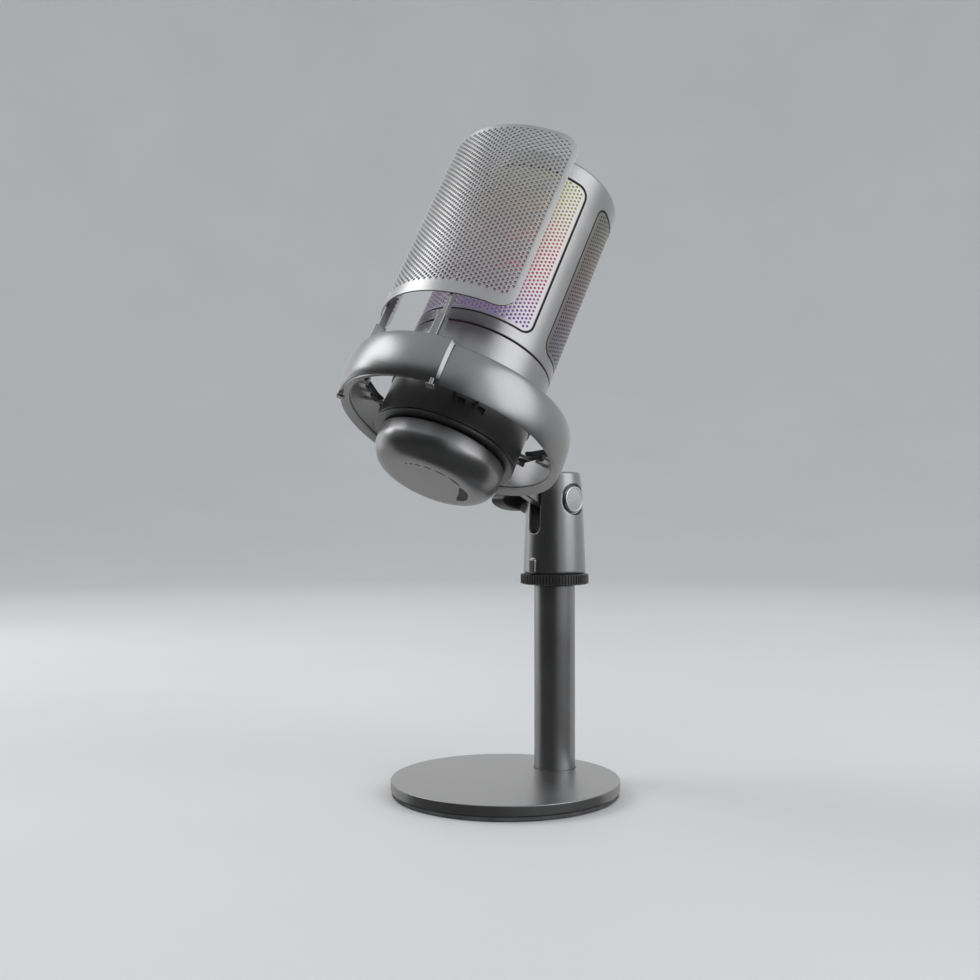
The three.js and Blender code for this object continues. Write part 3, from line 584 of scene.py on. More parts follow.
def rounded_rectangle(low, high, radius, step=0.9, corner_steps=10):
    """A function giving a rounded rectangle's loop, shrunk by an inset that may be negative."""
    width, height = high[0] - low[0], high[1] - low[1]
    along_x = max(2, round((width - 2 * radius) / step))
    along_y = max(2, round((height - 2 * radius) / step))

    def loop(inset):
        r = max(radius - inset, 0.01)
        x0, x1, y0, y1 = low[0] + inset, high[0] - inset, low[1] + inset, high[1] - inset
        points = []
        right, left, low_y, high_y = x1 - r, x0 + r, y0 + r, y1 - r
        corners = [(right, low_y, -90), (right, high_y, 0), (left, high_y, 90), (left, low_y, 180)]
        for i, (cx, cy, angle) in enumerate(corners):
            turn = arc((cx, cy), (r, r), angle, angle + 90, corner_steps)
            points.extend(turn)
            nx, ny, next_angle = corners[(i + 1) % 4]
            goal = arc((nx, ny), (r, r), next_angle, next_angle, 1)[0]
            count = along_y if i % 2 == 0 else along_x
            for k in range(1, count):
                t = k / count
                points.append((turn[-1][0] * (1 - t) + goal[0] * t, turn[-1][1] * (1 - t) + goal[1] * t))
        return points

    return loop


def circle_loop(x, y, radius, count):
    """A function giving a round hole's loop, grown by how far the metal is cut back."""

    def loop(cut):
        grown = radius + cut
        turns = [math.tau * k / count for k in range(count)]
        return [(x + grown * math.cos(turn), y + grown * math.sin(turn)) for turn in turns]

    return loop


def bent_plate(outline, holes, extra, outer, inner, edge=0.0, middle=0.0, walls=True):
    """A plate bent round the axis, with round or rounded holes through it.

    The outline and the holes are functions of how far the metal is cut back from them, in arc length
    at the outer radius and in height. Extra points keep the faces small, so that they follow the bend."""
    loops = [outline] + list(holes)
    flat = [loop(edge) for loop in loops]
    points = []
    label = []
    edges = []
    for number, loop in enumerate(flat):
        first = len(points)
        points.extend(loop)
        label.extend([number] * len(loop))
        edges.extend((first + i, first + (i + 1) % len(loop)) for i in range(len(loop)))
    points.extend(extra)
    label.extend([-1] * len(extra))
    found = delaunay_2d_cdt([Vector(p) for p in points], edges, [], 0, 1e-7)
    places, triangles, origins = found[0], found[2], found[3]
    labels = [label[o[0]] if o else -1 for o in origins]
    kept = []
    for a, b, c in triangles:
        same = labels[a] == labels[b] == labels[c]
        if same and labels[a] > 0:
            continue
        kept.append((a, b, c))

    def bent(x, height, radius):
        return on_circle(x / outer + math.radians(middle), radius, height)

    count = len(places)
    verts = [bent(p[0], p[1], outer) for p in places] + [bent(p[0], p[1], inner) for p in places]
    faces = [[a, b, c] for a, b, c in kept] + [[count + a, count + c, count + b] for a, b, c in kept]
    back = {o: i for i, origin in enumerate(origins) for o in origin}
    first = 0
    for number, loop in enumerate(flat):
        ring = [back[first + i] for i in range(len(loop))]
        first += len(loop)
        if number == 0 and not walls:
            continue
        rows = [ring]
        if edge > 0:
            steps = 3
            levels = []
            for k in range(1, steps + 1):
                angle = math.pi / 2 * k / steps
                levels.append((edge * (1 - math.sin(angle)), outer - edge * (1 - math.cos(angle))))
            levels += [(cut, outer + inner - radius) for cut, radius in reversed(levels)]
            for cut, radius in levels:
                row = loops[number](cut)
                rows.append(list(range(len(verts), len(verts) + len(row))))
                verts.extend(bent(x, y, radius) for x, y in row)
        rows.append([count + i for i in ring])
        for upper, lower in zip(rows, rows[1:]):
            for i in range(len(ring)):
                j = (i + 1) % len(ring)
                faces.append([upper[i], lower[i], lower[j], upper[j]])
    return verts, faces


def tube_along(points, radius, around=12):
    """A round cord along a line of points, with flat end caps and a UV map of turn and length in metres."""
    line = [Vector(p) for p in points]
    tangents = []
    for i in range(len(line)):
        tangents.append((line[min(i + 1, len(line) - 1)] - line[max(i - 1, 0)]).normalized())
    normal = tangents[0].orthogonal().normalized()
    verts = []
    lengths = []
    travelled = 0.0
    for i, (point, tangent) in enumerate(zip(line, tangents)):
        normal = (normal - tangent * normal.dot(tangent)).normalized()
        side = tangent.cross(normal)
        if i:
            travelled += (point - line[i - 1]).length
        lengths.append(travelled)
        for k in range(around):
            angle = math.tau * k / around
            verts.append(tuple(point + (normal * math.cos(angle) + side * math.sin(angle)) * radius))
    faces = []
    uvs = []
    for i in range(len(line) - 1):
        for k in range(around):
            n = (k + 1) % around
            faces.append([i * around + k, i * around + n, (i + 1) * around + n, (i + 1) * around + k])
            turn = [k / around, (k + 1) / around, (k + 1) / around, k / around]
            far = [lengths[i], lengths[i], lengths[i + 1], lengths[i + 1]]
            uvs.append([(t, d * MM) for t, d in zip(turn, far)])
    for ring, flip in ((list(range(around)), True), (list(range(len(verts) - around, len(verts))), False)):
        faces.append(ring[::-1] if flip else ring)
        uvs.append([(0.0, 0.0)] * around)
    return verts, faces, uvs


def combined(*parts):
    """Several (verts, faces) as one."""
    verts, faces = [], []
    for part in parts:
        first = len(verts)
        verts.extend(part[0])
        faces.extend([first + v for v in face] for face in part[1])
    return verts, faces


def moved(part, matrix):
    return [tuple(matrix @ Vector(v)) for v in part[0]], part[1]


def turned_to(part, degrees):
    """Turns a part about the third axis to an angle from the front."""
    return moved(part, Matrix.Rotation(math.radians(degrees), 4, "Z"))


def to_mesh(name, part, matrix=None):
    mesh = bpy.data.meshes.new(name)
    mesh.from_pydata([tuple(v) for v in part[0]], [], part[1])
    made = bmesh.new()
    made.from_mesh(mesh)
    bmesh.ops.remove_doubles(made, verts=made.verts, dist=1e-4)
    bmesh.ops.recalc_face_normals(made, faces=made.faces)
    made.to_mesh(mesh)
    made.free()
    if matrix is not None:
        mesh.transform(matrix)
    return mesh


def as_part(mesh):
    """A mesh's (verts, faces), to cut or join again."""
    return [v.co for v in mesh.vertices], [list(p.vertices) for p in mesh.polygons]


def add_object(name, mesh):
    made = bpy.data.objects.new(name, mesh)
    bpy.context.scene.collection.objects.link(made)
    return made


def boolean(base, cutters, operation="DIFFERENCE"):
    """Base and cutters are (verts, faces) in the same frame; gives back the result as a mesh."""
    target = add_object("work", to_mesh("work", base))
    helpers = []
    for cutter in cutters:
        helper = add_object("cutter", to_mesh("cutter", cutter))
        helpers.append(helper)
        modifier = target.modifiers.new("cut", "BOOLEAN")
        modifier.operation = operation
        modifier.solver = "EXACT"
        modifier.object = helper
    bpy.context.view_layer.update()
    evaluated = target.evaluated_get(bpy.context.evaluated_depsgraph_get())
    mesh = bpy.data.meshes.new_from_object(evaluated)
    for helper in helpers:
        bpy.data.objects.remove(helper)
    bpy.data.objects.remove(target)
    return mesh


def dress(node, material):
    """Gives a CAD node that stays its material."""
    slots = nodes[node].data.materials
    slots.clear()
    slots.append(material)


def softened(mesh, voxel, rounds):
    """Remeshes to an even grid and relaxes it, which rounds every edge a little, as casting does."""
    work = add_object("soft", mesh)
    remesh = work.modifiers.new("remesh", "REMESH")
    remesh.mode = "VOXEL"
    remesh.voxel_size = voxel
    smooth = work.modifiers.new("smooth", "SMOOTH")
    smooth.factor = 0.5
    smooth.iterations = rounds
    bpy.context.view_layer.update()
    evaluated = work.evaluated_get(bpy.context.evaluated_depsgraph_get())
    made = bpy.data.meshes.new_from_object(evaluated)
    bpy.data.objects.remove(work)
    return made


def finish_piece(name, mesh, matrix, material, body, stands_for=(), sharp=38.0, uvs=None):
    """Shades a mesh, gives it its material, and hangs it on its body when it is given one."""
    if matrix is not None:
        mesh.transform(matrix)
    mesh.name = name
    if uvs is not None:
        layer = mesh.uv_layers.new(name="cord")
        flat = [value for face in uvs for pair in face for value in pair]
        layer.data.foreach_set("uv", flat)
    mesh.shade_smooth()
    mesh.set_sharp_from_angle(angle=math.radians(sharp))
    made = add_object(name, mesh)
    made.data.materials.clear()
    made.data.materials.append(material)
    modifier = made.modifiers.new("even_shading", "WEIGHTED_NORMAL")
    modifier.keep_sharp = True
    if body is not None:
        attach(made, body)
    if stands_for:
        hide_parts(*stands_for)
    return made


def piece(name, part, matrix, material, body, stands_for=(), sharp=38.0):
    return finish_piece(name, to_mesh(name, part), matrix, material, body, stands_for, sharp)


# ---- Stand -------------------------------------------------------------------------------------


def build_stand():
    plate_bottom = 1.9
    seat = 5.7
    plate = lathe(rounded([
        (0, plate_bottom),
        (BASE_RADIUS, plate_bottom, 0.5),
        (BASE_RADIUS, BASE_TOP, 0.4),
        (0, BASE_TOP),
    ]), 256)
    hole = POLE_RADIUS + GAP
    seat_cut = lathe([
        (0, seat),
        (hole, seat),
        (hole, BASE_TOP - 0.25),
        (hole + 0.3, BASE_TOP + 0.05),
        (hole + 0.3, 9),
        (0, 9),
    ], MEDIUM)
    bore = SCREW_HOLE_RADIUS
    screw_cut = lathe([(0, 0), (7, 0), (7, 4.4), (bore, 4.4), (bore, 8), (0, 8)], MEDIUM)
    set_back = Matrix.Translation((0, PIVOT.y / MM, 0))
    mesh = boolean(plate, [moved(seat_cut, set_back), moved(screw_cut, set_back)])
    finish_piece("base", mesh, WORLD, gunmetal, "stand", ["base_plate"])

    pad_radius = BASE_RADIUS - 0.5
    pad = lathe(rounded([(0, 0), (pad_radius, 0, 0.4), (pad_radius, PAD_THICKNESS, 0.1), (0, PAD_THICKNESS)]))
    mesh = boolean(pad, [moved(cylinder(8, -1, 3), set_back)])
    finish_piece("foot_pad", mesh, WORLD, pad_rubber, "stand", ["base_foot_pad"])

    profile = rounded([
        (SCREW_HOLE_RADIUS, 6.0),
        (POLE_RADIUS, 6.0, 0.2),
        (POLE_RADIUS, POLE_TOP, 0.5),
        (STUD_RADIUS, POLE_TOP),
        (STUD_RADIUS, STUD_TOP, 0.7),
        (6.0, STUD_TOP, 0.3),
        (6.0, 30.0),
        (SCREW_HOLE_RADIUS, 30.0),
    ], True)
    piece("pole_tube", lathe(profile, 128), POLE, gunmetal, "stand", ["pole"])


def build_lock_ring():
    """A knurled ring whose teeth fade out at its chamfered edges."""
    per_tooth = 10
    count = KNURL_TEETH * per_tooth
    depth = 0.6
    bore = STUD_RADIUS + GAP
    # Each level is a height, how much of the tooth shows there, and how far it is chamfered.
    levels = [
        (LOCK_RING_BOTTOM, 0.0, 0.5),
        (LOCK_RING_BOTTOM + 0.45, 1.0, 0.0),
        (LOCK_RING_TOP - 0.45, 1.0, 0.0),
        (LOCK_RING_TOP, 0.0, 0.5),
    ]
    turns = [math.tau * k / count for k in range(count)]
    verts = []
    for height, tooth, chamfer in levels:
        for k, turn in enumerate(turns):
            phase = math.cos(math.tau * k / per_tooth)
            crown = min(1.0, max(0.0, 0.5 + 0.9 * phase))
            radius = LOCK_RING_RADIUS - depth - chamfer + depth * crown * tooth
            verts.append(on_circle(turn, radius, height))
    for height in (LOCK_RING_TOP, LOCK_RING_BOTTOM):
        verts.extend(on_circle(turn, bore, height) for turn in turns)
    rings = len(levels) + 2
    faces = []
    for level in range(rings):
        for k in range(count):
            n = (k + 1) % count
            above = (level + 1) % rings
            faces.append([level * count + k, level * count + n, above * count + n, above * count + k])
    piece("knurled_ring", (verts, faces), POLE, dark_satin, "lock_ring", ["lock_ring"], 30)


def build_fork():
    crown = arc((FORK_TOP_RADIUS - 1.6, FORK_TOP - 1.6), (1.6, 1.6), 0, 90, 8)
    body = lathe([
        (0, FORK_BOTTOM),
        (FORK_BOTTOM_RADIUS - 0.4, FORK_BOTTOM),
        (FORK_BOTTOM_RADIUS, FORK_BOTTOM + 0.4),
        FORK_MIDDLE,
        FORK_SHOULDER,
        *crown,
        (0, FORK_TOP),
    ])
    front = -FORK_BOTTOM_RADIUS
    tab_loop = rounded_rectangle((-1.8, front - 1.0), (1.8, front + 2.2), 0.4, 0.5, 4)
    tab = pillow_prism(tab_loop, FORK_BOTTOM, FORK_BOTTOM + 6.4, 0.3)
    whole = boolean(body, [tab], "UNION")
    half = SLOT_WIDTH / 2
    bottom = arc((0, SLOT_FLOOR + half), (half, half), 180, 360, 24)
    slot_outline = [*bottom, (half, 160), (-half, 160)]
    slot = moved(prism(slot_outline, -30, 30), Matrix.Rotation(math.pi / 2, 4, "X"))
    insert_bore = cylinder(9.9, 80, 109.6)
    across = Matrix.Translation((0, 0, PIVOT.z / MM)) @ Matrix.Rotation(math.pi / 2, 4, "Y")
    bolt_hole = moved(cylinder(SCREW_HOLE_RADIUS, -30, 30, SMALL), across)
    cap_recess = moved(cylinder(CAP_RECESS_RADIUS, 11, 30), across)
    hub_recess = moved(cylinder(7, -30, -11.6), across)
    cut = boolean(as_part(whole), [slot, insert_bore, bolt_hole, cap_recess, hub_recess])
    casting = softened(cut, 0.3, 4)
    finish_piece("fork_casting", casting, POLE, gunmetal, "fork", ["swivel_fork"], 60)

    cap = lathe(rounded([
        (0, -25.5),
        (BOLT_RADIUS, -25.5, 0.3),
        (BOLT_RADIUS, 11.3),
        (CAP_RADIUS, 11.3, 0.2),
        (CAP_RADIUS, 12.7, 0.45),
        (CAP_RADIUS - 0.9, 12.7, 0.15),
        (CAP_RADIUS - 1.05, 12.6, 0.1),
        (0, 12.75),
    ]), MEDIUM)
    piece("bolt_cap", cap, CROSS_BOLT, steel, "fork", ["pivot_bolt"])
    for name in ("pivot_washer_right", "pivot_washer_left"):
        dress(name, nylon)
    dress("fork_thread_insert", brass)


def build_thumb_knob():
    """An oval wing with rounded faces; the collar under it reaches the fork."""

    def oval(inset):
        turns = np.linspace(0, math.tau, MEDIUM, endpoint=False)
        return [((15.0 - inset) * math.cos(a), (5.2 - inset) * math.sin(a)) for a in turns]

    wing = pillow_prism(oval, -27.0, -17.0, 1.6, 6)
    whole = boolean(wing, [cylinder(6.5, -18, -12)], "UNION")
    knob = softened(boolean(as_part(whole), [cylinder(4.9, -25, 0, SMALL)]), 0.25, 3)
    finish_piece("thumb_wing", knob, CROSS_BOLT, black_plastic, "thumb_knob", ["thumb_knob"], 60)
    dress("thumb_knob_insert", brass)


# ---- Shock-mount ring --------------------------------------------------------------------------


def ring_arc(extra, start, end, steps):
    radii = (RING_BULGE + extra, RING_HALF_HEIGHT + extra)
    return arc((RING_CREST_RADIUS, RING_ARC_MIDDLE), radii, start, end, steps)


def radial_block(degrees, inner, outer, width, low, high, edge):
    """A block with rounded edges whose depth lies along the radius, at an angle from the front."""
    loop = rounded_rectangle((-width / 2, -outer), (width / 2, -inner), edge, 1.5, 3)
    return turned_to(pillow_prism(loop, low, high, edge, 3), degrees)


def cord_hook(degrees, cord_height, floor_depth, lip_depth):
    """A floor under the cord and a lip inside its bend; each depth is an inner and an outer radius."""
    floor = cord_height - HOOK_FLOOR_DROP
    bottom = floor - HOOK_FLOOR_THICKNESS
    return [
        radial_block(degrees, *floor_depth, HOOK_WIDTH, bottom, floor, HOOK_EDGE),
        radial_block(degrees, *lip_depth, HOOK_WIDTH, bottom, cord_height + HOOK_LIP_RISE, HOOK_EDGE),
    ]


def build_ring():
    inner = LINER_OUTER + GAP
    shell = lathe([
        *ring_arc(0, CREASE_ANGLE, 86, 40),
        (inner + 0.35, RING_TOP),
        (inner, RING_TOP - 0.35),
        (inner, LINER_BOTTOM - 0.3),
        (RING_LIP_RADIUS + 0.15, LINER_BOTTOM - 0.3),
        (RING_LIP_RADIUS, LINER_BOTTOM - 0.45),
        (RING_LIP_RADIUS, LINER_BOTTOM - 1.05),
        (RING_LIP_RADIUS + 0.2, LINER_BOTTOM - 1.3),
    ], 256)
    root = RING_CREST_RADIUS - 0.3
    root_half = RING_HALF_HEIGHT - 1.6
    end = 7.2
    thickness = 4.6

    def lug_outline(inset):
        tip = arc((PIVOT_REACH, RING_MIDDLE), (end - inset, end - inset), -80, 80, 28)
        return [(root, RING_MIDDLE - root_half + inset), *tip, (root, RING_MIDDLE + root_half - inset)]

    def gusset_outline(inset):
        reach = root + 3.6 - inset
        return [
            (root, RING_MIDDLE - root_half + inset),
            (reach, RING_MIDDLE - root_half + 1.5 + inset),
            (reach, RING_MIDDLE + root_half - 1.5 - inset),
            (root, RING_MIDDLE + root_half - inset),
        ]

    sideways = Matrix(((0, 0, 1, 0), (1, 0, 0, 0), (0, 1, 0, 0), (0, 0, 0, 1)))
    lug = moved(pillow_prism(lug_outline, -thickness / 2, thickness / 2, 0.6, 5), sideways)
    gusset = moved(pillow_prism(gusset_outline, -4.0, 4.0, 0.8, 5), sideways)
    joined = boolean(shell, [lug, gusset], "UNION")
    across = Matrix.Translation((0, PIVOT_REACH, RING_MIDDLE)) @ Matrix.Rotation(math.pi / 2, 4, "Y")
    mesh = boolean(as_part(joined), [moved(cylinder(SCREW_HOLE_RADIUS, -9, 9, SMALL), across)])
    finish_piece("ring_shell", mesh, MIC, gunmetal, "ring", ["shock_ring"])

    top = RING_TOP - 0.6
    band = lathe(rounded([
        (LINER_OUTER, LINER_BOTTOM, 0.1),
        (LINER_OUTER, top, 0.3),
        (LINER_INNER, top, 0.5),
        (LINER_INNER, LINER_BOTTOM, 0.3),
    ], True))
    lip = (RING_BEND - 2.6, RING_BEND - 1.2)
    hooks = []
    for place in CORD_PLACES:
        for offset in (-RING_HOOK_SPREAD, 0, RING_HOOK_SPREAD):
            hooks.extend(cord_hook(place + offset, RING_HOOK_HEIGHT, (lip[0], LINER_INNER + 0.4), lip))
    piece("inner_liner", combined(band, *hooks), MIC, liner_plastic, "ring", ["ring_liner"])


def bend(degrees, radius, height, outward):
    """Three points of a cord's turn round a hook; outward is 1 at the ring and -1 at the cradle."""
    sideways = math.degrees(BEND_RADIUS / radius)
    near = radius - outward * BEND_RADIUS * 0.9
    turns = ((-sideways, near), (0, radius), (sideways, near))
    return [polar(degrees + turn, reach, height) for turn, reach in turns]


def smooth_route(points, per_span=7):
    """A centripetal Catmull-Rom curve through every point."""
    ends = [points[0] * 2 - points[1], *points, points[-1] * 2 - points[-2]]
    route = [points[0]]
    for a, b, c, d in zip(ends, ends[1:], ends[2:], ends[3:]):
        t0 = 0.0
        t1 = t0 + math.sqrt((b - a).length)
        t2 = t1 + math.sqrt((c - b).length)
        t3 = t2 + math.sqrt((d - c).length)
        for k in range(1, per_span + 1):
            t = t1 + (t2 - t1) * k / per_span
            ab = a.lerp(b, (t - t0) / (t1 - t0))
            bc = b.lerp(c, (t - t1) / (t2 - t1))
            cd = c.lerp(d, (t - t2) / (t3 - t2))
            abc = ab.lerp(bc, (t - t0) / (t2 - t0))
            bcd = bc.lerp(cd, (t - t1) / (t3 - t1))
            route.append(abc.lerp(bcd, (t - t1) / (t2 - t1)))
    return route


def build_cords():
    for number, place in enumerate(CORD_PLACES, 1):
        points = [
            *bend(place - RING_HOOK_SPREAD, RING_BEND, RING_HOOK_HEIGHT, 1),
            *bend(place - CRADLE_HOOK_SPREAD, CRADLE_BEND, CRADLE_HOOK_HEIGHT, -1),
            *bend(place, RING_BEND, RING_HOOK_HEIGHT, 1),
            *bend(place + CRADLE_HOOK_SPREAD, CRADLE_BEND, CRADLE_HOOK_HEIGHT, -1),
            *bend(place + RING_HOOK_SPREAD, RING_BEND, RING_HOOK_HEIGHT, 1),
        ]
        verts, faces, uvs = tube_along(smooth_route(points), CORD_RADIUS)
        mesh = bpy.data.meshes.new("cord")
        mesh.from_pydata(verts, [], faces)
        name = f"suspension_cord_{number}"
        stands_for = [f"elastic_cord_{number}"]
        cord = finish_piece(name, mesh, MIC, elastic, None, stands_for, 50, uvs)
        held = MIC @ polar(place, RING_BEND - 2.6, RING_HOOK_HEIGHT)
        moving = MIC @ polar(place, CRADLE_BEND + 1.8, RING_HOOK_HEIGHT)
        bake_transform(cord)


# ---- Pop filter and its clip -------------------------------------------------------------------

STALK_OUTER = SCREEN_RADIUS - SCREEN_THICKNESS - 0.3
STALK_DEPTH = 3.2
SOCKET_TOP = -7.0


def build_clip():
    top_outer = CLIP_OUTER_RADIUS - 2.3
    middle = -28.0
    outside = arc((top_outer, middle), (2.3, CLIP_TOP - middle), -80, 88, 36)
    wrap_inner = RING_CREST_RADIUS - 0.9
    crest = rounded([(top_outer, CLIP_TOP), (wrap_inner, CLIP_TOP, 0.5), (wrap_inner, RING_TOP + 0.3)])[1:]
    inside = ring_arc(0.3, 90, CREASE_ANGLE + 8, 30)
    profile = [Vector(p) for p in (*outside, *crest, *inside)]
    chamfered = len(outside) + len(crest) // 2
    count = len(profile)
    inward = []
    for i, point in enumerate(profile):
        along = (profile[(i + 1) % count] - profile[i - 1]).normalized()
        depth = 0.0
        if i < chamfered:
            depth = max(0.0, min((point - Vector(p)).length for p in inside) - 0.3)
        inward.append((Vector((-along.y, along.x)), depth))
    chamfer = 1.15
    slope = math.degrees(1.3 / CLIP_OUTER_RADIUS)
    flat = CLIP_HALF_ANGLE - slope - 0.25
    ends = [(CLIP_HALF_ANGLE, chamfer), (CLIP_HALF_ANGLE - slope, 0.06), (flat, 0.0)]
    steps = 72
    rows = [(-angle, inset) for angle, inset in ends]
    rows += [(-flat + 2 * flat * k / steps, 0.0) for k in range(1, steps)]
    rows += [(angle, inset) for angle, inset in reversed(ends)]
    verts = []
    for degrees, inset in rows:
        for point, (push, depth) in zip(profile, inward):
            place = point + push * min(inset, depth)
            verts.append(tuple(polar(degrees, place.x, place.y)))
    band = (verts, skin(len(rows), count))

    additions = []
    bores = []
    for side in (-1, 1):
        angle = side * STALK_ANGLE
        outer = STALK_OUTER + 1.1
        inner = STALK_OUTER - STALK_DEPTH - 0.7
        additions.append(radial_block(angle, inner, outer, 3.4, RING_TOP + 0.4, SOCKET_TOP, 0.4))
        bore = (STALK_OUTER - STALK_DEPTH - 0.3, STALK_OUTER + 0.3)
        bores.append(radial_block(angle, *bore, 2.2, -17.9, SOCKET_TOP + 2, 0.05))
        # A groove down each side of the socket leaves a flange along its outer edge.
        for middle in (-1.7, 1.7):
            corners = ((middle - 0.45, -outer + 0.9), (middle + 0.45, -outer + 1.6))
            groove = rounded_rectangle(*corners, 0.1, 0.4, 2)
            bores.append(turned_to(prism(groove(0), RING_TOP + 2.2, SOCKET_TOP + 2), angle))
        hook_angle = side * (CLIP_HALF_ANGLE - 3)
        hook_outer = RING_CREST_RADIUS + 2.5
        low = RING_MIDDLE - 11.2
        hook_inner = RING_CREST_RADIUS - 1
        additions.append(radial_block(hook_angle, hook_inner, hook_outer, 3.6, low, low + 1.2, 0.5))
        additions.append(radial_block(hook_angle, hook_outer - 1.1, hook_outer, 1.6, low, low + 4.4, 0.4))
    mesh = boolean(as_part(boolean(band, additions, "UNION")), bores)
    finish_piece("clip_band", mesh, MIC, gunmetal, "ring", ["filter_clip"])


def lattice(width, low, high, across, along, phase):
    """Centres of a staggered pattern: columns across the arc, every other one half a step higher."""
    columns = int(width / across) + 1
    places = []
    for column in range(-columns, columns + 1):
        x = column * across
        shift = along / 2 if column % 2 else 0.0
        first = math.ceil((low - phase - shift) / along)
        last = math.floor((high - phase - shift) / along)
        places.extend((x, phase + shift + row * along) for row in range(first, last + 1))
    return places


def inside_rounded(point, low, high, radius):
    """How far a point lies inside a rounded rectangle; negative outside."""
    x = abs(point[0] - (low[0] + high[0]) / 2) - (high[0] - low[0]) / 2 + radius
    y = abs(point[1] - (low[1] + high[1]) / 2) - (high[1] - low[1]) / 2 + radius
    return radius - math.hypot(max(x, 0), max(y, 0)) - min(max(x, y), 0)


def perforated(half_arc, low, high, corner, hole_box, hole_corner, pitch, hole_radius, radii, middle):
    """A bent plate with staggered round holes inside a solid border; radii are its outer and inner ones."""
    outline = rounded_rectangle((-half_arc, low), (half_arc, high), corner, 0.8)
    holes = []
    plain = []
    spacing = max(pitch)
    for place in lattice(half_arc, low, high, *pitch, hole_box[1][1] - spacing * 0.5):
        if inside_rounded(place, *hole_box, hole_corner) >= 0:
            holes.append(circle_loop(*place, hole_radius, HOLE_FACETS))
        elif inside_rounded(place, (-half_arc, low), (half_arc, high), corner) > 0.5:
            plain.append(place)
    return bent_plate(outline, holes, plain, *radii, 0.12, middle)


def build_pop_filter():
    half_arc = math.radians(SCREEN_HALF_ANGLE) * SCREEN_RADIUS
    hole_box = ((-half_arc + 3.2, SCREEN_BOTTOM + 5.4), (half_arc - 3.2, SCREEN_TOP - 2.4))
    radii = (SCREEN_RADIUS, SCREEN_RADIUS - SCREEN_THICKNESS)
    screen = perforated(
        half_arc, SCREEN_BOTTOM, SCREEN_TOP, SCREEN_CORNER,
        hole_box, 6.0, SCREEN_PITCH, SCREEN_HOLE_RADIUS, radii, 0.0,
    )
    stands_for = ["pop_filter_screen"]
    piece("perforated_screen", screen, MIC, screen_silver, "pop_filter", stands_for)
    low = SCREEN_BOTTOM
    for side, node in ((1, "filter_stalk_right"), (-1, "filter_stalk_left")):
        angle = side * STALK_ANGLE
        blade = radial_block(angle, STALK_OUTER - STALK_DEPTH, STALK_OUTER, 1.6, -17.6, low + 6, 0.3)
        pad = radial_block(angle, STALK_OUTER - 0.9, STALK_OUTER + 0.25, 4.2, low + 0.8, low + 6.6, 0.25)
        piece(f"{node}_blade", combined(blade, pad), MIC, silver, "pop_filter", [node])


# ---- Microphone --------------------------------------------------------------------------------


def half_shell(outer, inner, low, high, middle, windows, edge):
    """Half of a round wall, with windows; its straight sides meet the other half's."""
    half_arc = math.pi / 2 * outer
    columns = 96
    rows = max(2, round((high - low) / 1.6))
    xs = np.linspace(-half_arc, half_arc, columns + 1)
    ys = np.linspace(low, high, rows + 1)

    def outline(_):
        bottom = [(x, low) for x in xs[:-1]]
        right = [(half_arc, y) for y in ys[:-1]]
        top = [(x, high) for x in xs[:0:-1]]
        left = [(-half_arc, y) for y in ys[:0:-1]]
        return bottom + right + top + left

    extra = []
    for x in xs[2:-2:2]:
        for y in ys[1:-1]:
            if all(window["clear"]((x, y)) for window in windows):
                extra.append((x, y))
    loops = [window["loop"] for window in windows]
    return bent_plate(outline, loops, extra, outer, inner, edge, middle, walls=False)


def window_hole(low, high, corner):
    """A window: its loop, which grows as metal is cut back, and a test for points clear of it."""
    loop = rounded_rectangle(low, high, corner, 0.9, 12)
    return {
        "loop": lambda cut: loop(-cut),
        "clear": lambda point: inside_rounded(point, low, high, corner) < -1.0,
    }


